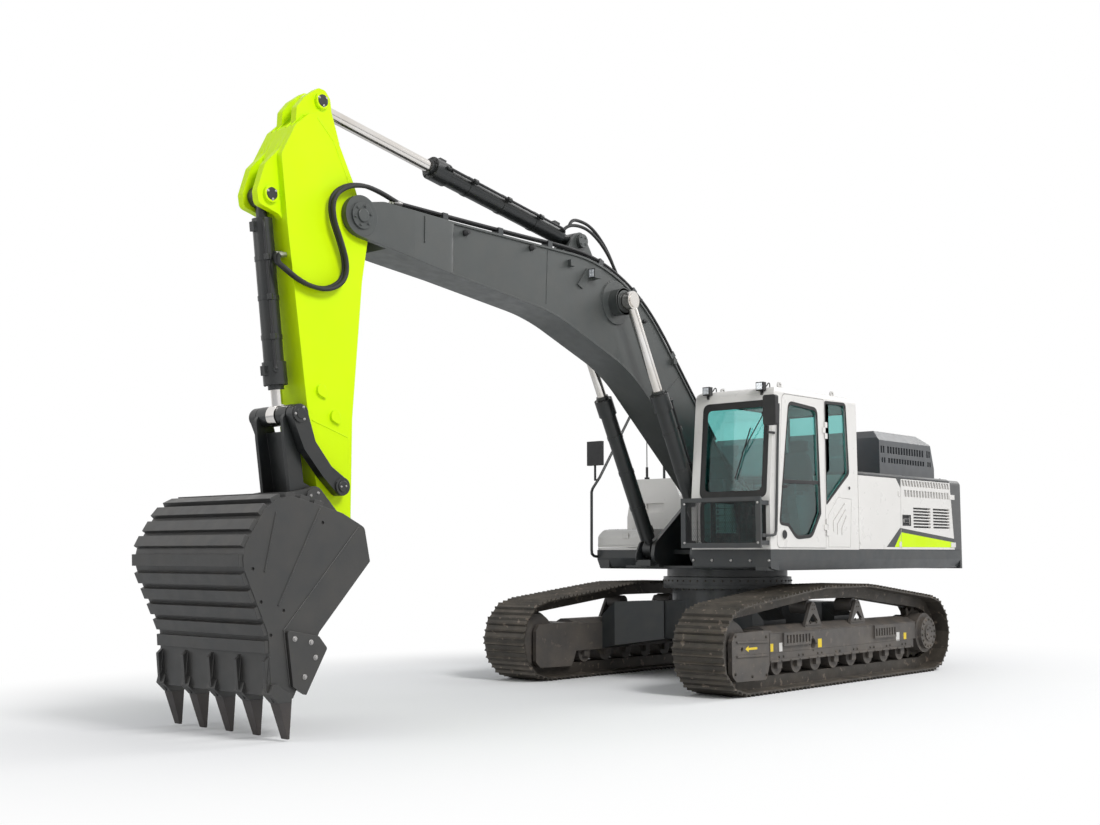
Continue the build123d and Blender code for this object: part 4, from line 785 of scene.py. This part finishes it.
def boom_slope(x):
    """The direction of the boom's back at this x, which is level towards the nose."""
    for limit, slope in ((1500, (0.675, 0, 0.738)), (2200, (0.79, 0, 0.61)), (3000, (0.93, 0, 0.37))):
        if x < limit:
            return Vector(slope)
    return FORWARD


for y in (178, 132, -178, -132):
    hose(f"boom_pipe_{'l' if y > 0 else 'r'}{abs(y)}", over_boom(y), 0.015, "black", "boom")
clamps = Batch("pipe_clamps", "dark", "boom")
for x, z in ((800, 3006), (1320, 3575), (2010, 4189), (2560, 4412), (3360, 4463), (4080, 4467), (4820, 4471)):
    slope = boom_slope(x)
    out = slope.cross(LEFT)
    for y in (155, -155):
        middle = at(x, y, z)
        clamps.plate([middle + slope * a * 0.032 + LEFT * b * 0.046 for a, b in SQUARE], out, 0.070, -0.004)
        clamps.bolt(middle + out * 0.066, out, 0.009)
clamps.made()
# two hoses over the bend to the arm ram's ports
hose("arm_ram_hose_1", [at(2120, 90, 4330), at(2230, 92, 4500), at(2420, 95, 4680), at(2640, 100, 4790),
                        at(2850, 112, 4800), at(3010, 118, 4760), at(3050, 112, 4715)],
     0.017, "rubber", "boom")
hose("arm_ram_hose_2", [at(2050, 45, 4270), at(2150, 48, 4480), at(2330, 52, 4700), at(2560, 60, 4850),
                        at(2790, 80, 4868), at(2920, 100, 4840), at(2960, 110, 4780)],
     0.017, "rubber", "boom")
# small fittings on the boom's side
studs = Batch("boom_side_fittings", "black", "boom")
for x, z in ((1898, 4129), (1815, 3909)):
    studs.turned(at(x, BOOM_WEB, z), LEFT, ((0, 0.022), (0.018, 0.022), (0.018, 0.015), (0.04, 0.015)), 12)
for x, z in ((4560, 4395), (3640, 4410)):
    studs.turned(at(x, BOOM_WEB, z), LEFT, ((0, 0.03), (0.02, 0.03), (0.025, 0.02), (0.06, 0.02)), 12)
studs.made()

# loop of two hoses from the boom's nose round to the arm's front, the inner one a little higher
LOOP = ((5390, 178, 4524), (5560, 215, 4552), (5760, 262, 4564), (5880, 278, 4562), (6060, 285, 4520),
        (6215, 290, 4400), (6215, 288, 4220), (6120, 282, 4040), (6040, 276, 3850), (6060, 270, 3690),
        (6230, 266, 3590), (6420, 262, 3600), (6570, 262, 3650), (6660, 235, 3720), (6700, 170, 3780),
        (6645, 125, 3850))
PAIR = {"outer": 0, "inner": -44}         # shift across the machine
PAIR_RISE = 0.35                          # how far a hose goes up for its shift to the middle
for name, shift in PAIR.items():
    bent_hose(f"arm_hose_{name}", [at(x, y + shift, z - shift * PAIR_RISE) for x, y, z in LOOP], 0.019,
              "rubber", "boom")
collars = Batch("hose_collars", "steel", "boom")
for shift in PAIR.values():
    collars.turned(at(5350, 178 + shift, 4521), FORWARD,
                   ((0, 0.020), (0.05, 0.024), (0.09, 0.024), (0.10, 0.019)), 12)
collars.made()
unions = Batch("arm_unions", "steel", "arm")
for shift in PAIR.values():
    rise = -shift * PAIR_RISE
    unions.bar(at(6570, 125 + shift, 3862 + rise), at(6650, 125 + shift, 3848 + rise), 0.024, 6)
unions.made()

# -------------------------------------------- cab: seals, guard mesh, wiper, lamps
DOOR_WINDOW = [(1013, 2999, 60), (433, 2968, 60), (397, 1842), (586, 1587, 60),
               (899, 1567, 60), (1055, 1700), (1222, 1714, 40)]
QUARTER_WINDOW = [(262, 3062, 20), (-190, 3075, 40), (-235, 2300, 30), (262, 1942, 10)]
RIGHT_WINDOW = [(1240, 1950), (1240, 3040, 60), (-330, 3040, 60), (-330, 2300, 60), (300, 1950)]
SEAL_HIGH = 0.003


def gasket(name, points, out, body, width):
    """A flat rubber seal round an opening, from the points of its edge."""
    seal = Batch(name, "rubber", body)
    middle = sum(points, Vector()) / len(points)
    inner = [p + (middle - p).normalized() * width for p in points]
    outer = [p - (middle - p).normalized() * width * 0.8 for p in points]
    loops = [[p - out * 0.004 for p in inner], [p + out * SEAL_HIGH for p in inner],
             [p + out * SEAL_HIGH for p in outer], [p - out * 0.004 for p in outer]]
    count = len(points)
    seal.points = [p for loop in loops for p in loop]
    for n in range(4):
        for k in range(count):
            here, ahead = n * count, ((n + 1) % 4) * count
            after = (k + 1) % count
            seal.faces.append((here + k, here + after, ahead + after, ahead + k))
            seal.smooth.append(False)
    return seal.made()


gasket("door_window_seal", standing(soft_corners(DOOR_WINDOW), DOOR_FACE), LEFT, "cab_door", 0.022)
gasket("quarter_window_seal", standing(soft_corners(QUARTER_WINDOW), DOOR_FACE), LEFT, "upper", 0.020)
gasket("right_window_seal", standing(soft_corners(RIGHT_WINDOW), 505), -LEFT, "upper", 0.020)
LEAN_FOOT = 2000                          # height over which the cab's front leans back
LEAN_BACK, LEAN_UP = 112, 1147
FRONT_OUT = LEFT.cross(Vector((-LEAN_BACK, 0, LEAN_UP)).normalized())


def on_front(x, y, z):
    """A point on a face of the cab's front that stands at this x below the lean."""
    return at(x - max(0, z - LEAN_FOOT) * LEAN_BACK / LEAN_UP, y, z)


def front_points(y_low, y_high, z_low, z_high):
    """A rounded window outline lying in the cab's front."""
    return [on_front(1407, y, z) for y, z in soft_corners(rectangle(y_low, y_high, z_low, z_high, 50))]


gasket("windscreen_seal", front_points(640, 1426, 2015, 2975), FRONT_OUT, "upper", 0.050)
gasket("lower_screen_seal", front_points(640, 1426, 1505, 1950), FORWARD, "upper", 0.024)
gasket("rear_window_seal", [at(-439, y, z) for y, z in rectangle(600, 1400, 2300, 3000)],
       -FORWARD, "upper", 0.022)
gasket("roof_hatch_seal", [at(x, y, 3162) for x, y in soft_corners(rectangle(350, 1050, 650, 1350, 40))],
       UP, "upper", 0.024)

# dark band over the quarter window, behind the door
pillar = Batch("quarter_band", "black", "upper")
pillar.plate(standing(((255, 3058), (150, 3062), (150, 2320), (255, 2250)), 1471), LEFT, 0.003)
pillar.made()

# expanded mesh in the guard, leaning both ways
mesh = Batch("guard_mesh", "black", "upper")
low_y, high_y, low_z, high_z = 555, 1433, 1513, 1939
PITCH, MESH_LEAN, STRAND = 26, 0.6, 0.0032
reach = (high_z - low_z) * MESH_LEAN
for lean in (1, -1):
    for n in range(-int(reach / PITCH) - 1, int((high_y - low_y) / PITCH) + 1):
        # a strand from its foot, cut off where it would pass the guard's sides
        foot = low_y + n * PITCH
        y0, z0, y1, z1 = foot, low_z, foot + reach, high_z
        if y0 < low_y:
            z0, y0 = low_z + (low_y - y0) / MESH_LEAN, low_y
        if y1 > high_y:
            z1, y1 = high_z - (y1 - high_y) / MESH_LEAN, high_y
        if z1 - z0 < 12:
            continue
        if lean < 0:
            y0, y1 = low_y + high_y - y0, low_y + high_y - y1
        mesh.bar(at(1583 + lean, y0, z0), at(1583 + lean, y1, z1), STRAND, 4)
mesh.made()
# bolts of the guard's brackets and the cab's foot, and round plates on the roof
fixings = Batch("cab_fixings", "steel", "upper")
for y in (540, 1460):
    for z in (1512, 1922):
        fixings.bolt(at(1590, y, z), FORWARD, 0.010)
for y in (520, 760, 1000, 1240, 1470):
    fixings.bolt(at(1404, y, 1330), FORWARD, 0.011)
for x, y in ((1023, 1390), (-76, 1390), (940, 610), (-204, 610)):
    fixings.turned(at(x, y, 3150), UP, ((0, 0.034), (0.006, 0.034), (0.010, 0.028)), 16)
fixings.made()


# wiper on the windscreen
def on_screen(y, z, lift):
    """A point this far off the outside of the windscreen."""
    return on_front(1372, y, z) + FRONT_OUT * lift


wiper = Batch("wiper", "black", "upper")
wiper.turned(on_screen(1385, 2860, 0.0), FRONT_OUT, ((0, 0.028), (0.045, 0.024), (0.05, 0.016)), 14)
wiper.bar(on_screen(1385, 2860, 0.04), on_screen(1130, 2450, 0.035), 0.006, 8)
wiper.bar(on_screen(1215, 2720, 0.018), on_screen(1045, 2180, 0.018), 0.007, 6)
wiper.bar(on_screen(1130, 2450, 0.035), on_screen(1130, 2450, 0.015), 0.008, 8)
wiper.made()


def lamp_face(name, place, out, half_wide, half_high, body):
    """Lens, bezel and cooling fins of a square work lamp."""
    across = out.cross(UP).normalized()
    pane = Batch(f"{name}_lens", "lens", body)
    bezel = Batch(f"{name}_bezel", "black", body)
    corners = [place + across * a * half_wide + UP * b * half_high for a, b in SQUARE]
    bezel.plate(corners, out, 0.006)
    pane.plate([place + (c - place) * 0.82 for c in corners], out, 0.004, 0.005)
    for a in (-0.4, 0.4):
        for b in (-0.4, 0.4):
            pane.turned(place + across * a * half_wide + UP * b * half_high + out * 0.008, out,
                        ((0, half_wide * 0.3), (0.004, half_wide * 0.22)), 14)
    for n in range(5):
        shift = (n - 2) * half_wide * 0.36
        bezel.bar(place + across * shift - UP * half_high * 0.95 - out * 0.062,
                  place + across * shift + UP * half_high * 0.95 - out * 0.062, 0.004, 6)
    pane.made()
    bezel.made()


lamp_face("boom_lamp", at(2768, 248, 4286), FORWARD, 0.040, 0.048, "boom")
for y in (674, 1354):
    lamp_face(f"roof_lamp_{y}", at(1352, y, 3150), FORWARD, 0.043, 0.043, "upper")
    hose(f"roof_lamp_lead_{y}", [at(1290, y + 10, 3140), at(1255, y + 24, 3150), at(1235, y + 30, 3190),
                                 at(1205, y + 30, 3195), at(1190, y + 26, 3160), at(1188, y + 20, 3143)],
         0.006, "rubber", "upper")
# mirror glasses face the rear
BORDER = 12
for name, x, y_low, y_high, z_low, z_high in (("left", 1470, 1504, 1655, 2715, 3028),
                                              ("right", 560, -1632, -1404, 2476, 2773)):
    pane = Batch(f"mirror_face_{name}", "mirror", "upper")
    edge = rectangle(y_low + BORDER, y_high - BORDER, z_low + BORDER, z_high - BORDER, 25)
    pane.plate([at(x, y, z) for y, z in soft_corners(edge)], -FORWARD, 0.003)
    pane.made()

# lock and handle of the cab door, and the cover of the bar across its window on both sides
trim = Batch("cab_door_trim", "black", "cab_door")
trim.turned(at(1144, 1501, 1601), LEFT, ((-0.002, 0.046), (0.003, 0.046), (0.004, 0.034), (0.001, 0.030)), 24)
trim.plate(standing(((1085, 2120), (1170, 2112), (1170, 2080), (1085, 2088)), DOOR_FACE), LEFT, 0.014)
for y, out in ((1490, LEFT), (1476, -LEFT)):
    trim.plate(standing(((400, 2148), (1192, 2136), (1189, 2176), (401, 2188)), y), out, 0.003)
trim.made()

# latches of the rear side doors and the mesh behind their louvres
low, high = 1744, 1851
BEZEL = ((-1723, -1510, high - 4, high + 12), (-1723, -1510, low - 12, low + 4),
         (-1723, -1706, low - 12, high + 12), (-1527, -1510, low - 12, high + 12))
TOP_ROW = (-2800, -1505, 2198, 2285)
LEFT_ROWS = ((-2775, -1548, 2072, 2166), (-2258, -1786, 1704, 1976), (-2783, -2312, 1704, 1976))
for door, side, rows in (("left_rear_door", 1, (TOP_ROW, *LEFT_ROWS)), ("right_rear_door", -1, (TOP_ROW,))):
    latch = Batch(f"latch_{door}", "black", door)
    for strip in BEZEL:
        latch.plate(standing(rectangle(*strip), side * PANEL_FACE), LEFT * side, 0.003)
    latch.plate(standing(rectangle(-1708, -1525, low + 2, high - 2), side * 1475), LEFT * side, 0.002)
    latch.plate(standing(rectangle(-1678, -1562, 1772, 1813), side * 1487), LEFT * side, MARK_HIGH)
    latch.made()
    backing = Batch(f"mesh_{door}", "mesh", door)
    for row in rows:
        backing.plate(standing(rectangle(*row), side * 1451.5), -LEFT * side, 0.004)
    backing.made()
hood = Batch("hood_mesh", "mesh", "engine_hood")
for side in (1, -1):
    for z0, z1 in ((2606, 2708), (2490, 2568)):
        hood.plate(standing(rectangle(-2800, -1455, z0, z1), side * 1201), -LEFT * side, 0.004)
hood.made()
catches = Batch("press_catches", "black", "upper")
catches.turned(at(-228, 1503, 2133), LEFT, ((0, 0.018), (0.003, 0.018), (0.005, 0.010)), 16)
catches.made()

# -------------------------------------------- anti-slip plates, caps and roof bolts
STUD_PITCH, STUD_BORDER = 58, 30


def studs_on(batch, x_low, x_high, y_low, y_high, z):
    """A thin plate with rows of raised round studs, every second row shifted by half a pitch."""
    batch.plate([at(x, y, z) for x, y in rectangle(x_low, x_high, y_low, y_high)], UP, 0.003)
    for row in range(int((y_high - y_low - 20) / STUD_PITCH)):
        for n in range(int((x_high - x_low - 20) / STUD_PITCH)):
            spot = at(x_low + STUD_BORDER + STUD_PITCH * (n + 0.5 * (row % 2)),
                      y_low + STUD_BORDER + STUD_PITCH * row, z + 3)
            batch.turned(spot, UP, ((0, 0.010), (0.003, 0.007)), 6)


grip = Batch("anti_slip", "dark", "upper")
studs_on(grip, -640, -60, -1340, -820, 2320)
studs_on(grip, -1420, -860, -1440, -1180, 2289)
studs_on(grip, -1430, -470, 1180, 1430, ROOF_TOP)
grip.made()
lid_grip = Batch("toolbox_grip", "dark", "toolbox_lid")
studs_on(lid_grip, 60, 480, -1400, -780, 1692)
lid_grip.made()
fillers = Batch("tank_fittings", "black", "upper")
for place, size in ((at(-520, -1050, 2352), 0.072), (at(-1130, -1000, 2295), 0.060)):
    fillers.turned(place, UP, ((-0.012, size), (0.004, size), (0.010, size * 0.9)), 24)
fillers.made()
nuts = Batch("body_bolts", "dark", "upper")
for x in (-2700, -2200, -1700):
    for y in (1410, -1410):
        nuts.bolt(at(x, y, ROOF_TOP), UP, 0.011)
nuts.bolt(at(-700, 1410, ROOF_TOP), UP, 0.011)
for y in (-1100, -500, 500, 1100):
    nuts.bolt(at(-3020, y, ROOF_TOP), UP, 0.024)
nuts.made()

# hoses between the turning deck and the boom's foot
FOOT_ROUTE = ((-560, 1448), (-560, 1560), (-540, 1720), (-430, 1960), (-240, 2160), (-40, 2290),
              (150, 2420), (330, 2570))
for n, y in enumerate((-150, -60, 60, 150)):
    bent_hose(f"foot_hose_{n}", standing(FOOT_ROUTE, y), 0.022, "rubber", "upper")

# -------------------------------------------- operator's seat
CROWN = 2.6             # how square a pad is: higher is squarer
TUCK = 0.12             # depth of the sewn channels, as a share of half the thickness


def pad(name, centre, half, lean):
    """A stuffed pad: rounded closed form, fuller in the middle, pulled in along two sewn channels."""
    mesh = bpy.data.meshes.new(name)
    form = bmesh.new()
    bmesh.ops.create_cube(form, size=2)
    bmesh.ops.subdivide_edges(form, edges=form.edges[:], cuts=13, use_grid_fill=True)
    for vert in form.verts:
        x, y, z = vert.co
        norm = (abs(x) ** (2 * CROWN) + abs(y) ** (2 * CROWN) + abs(z) ** CROWN) ** (-1 / (2 * CROWN))
        x, y, z = x * norm, y * norm, z * norm
        channel = TUCK * max(0.0, 1 - abs(abs(y) - 0.62) / 0.09) * abs(z)
        z -= channel * (1 if z > 0 else -1)
        vert.co = (x * half[0], y * half[1], z * half[2])
    form.to_mesh(mesh)
    form.free()
    mesh.transform(Matrix.Translation(centre) @ Matrix.Rotation(lean, 4, "Y"))
    mesh.polygons.foreach_set("use_smooth", [True] * len(mesh.polygons))
    mesh.materials.append(FINISHES["fabric"])
    piece = placed(name, mesh)
    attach(piece, "upper")
    return piece


cushion = pad("seat_cushion", at(450, 1000, 1868), (0.285, 0.245, 0.062), radians(-3))
pad("seat_backrest", at(120, 1000, 2225), (0.315, 0.235, 0.068), radians(-79))
pad("seat_headrest", at(-2, 1000, 2612), (0.072, 0.115, 0.038), radians(-79))
base = Batch("seat_base", "interior", "upper")
for n in range(7):
    # bellows round the suspension, narrower at each fold
    low = 1488 + 44 * n
    fold = Vector((0.012, 0.012, 0)) * (n % 2)
    base.brick(at(255 + 8 * n, 838, low) + fold, at(612 - 8 * n, 1162, low + 42) - fold)
base.brick(at(190, 790, 1796), at(700, 1210, 1822))
for y in (770, 1216):
    base.brick(at(120, y, 2010), at(440, y + 24, 2040))
base.made()
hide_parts("operator_seat")

view = bpy.context.scene.view_settings
view.view_transform = "Standard"
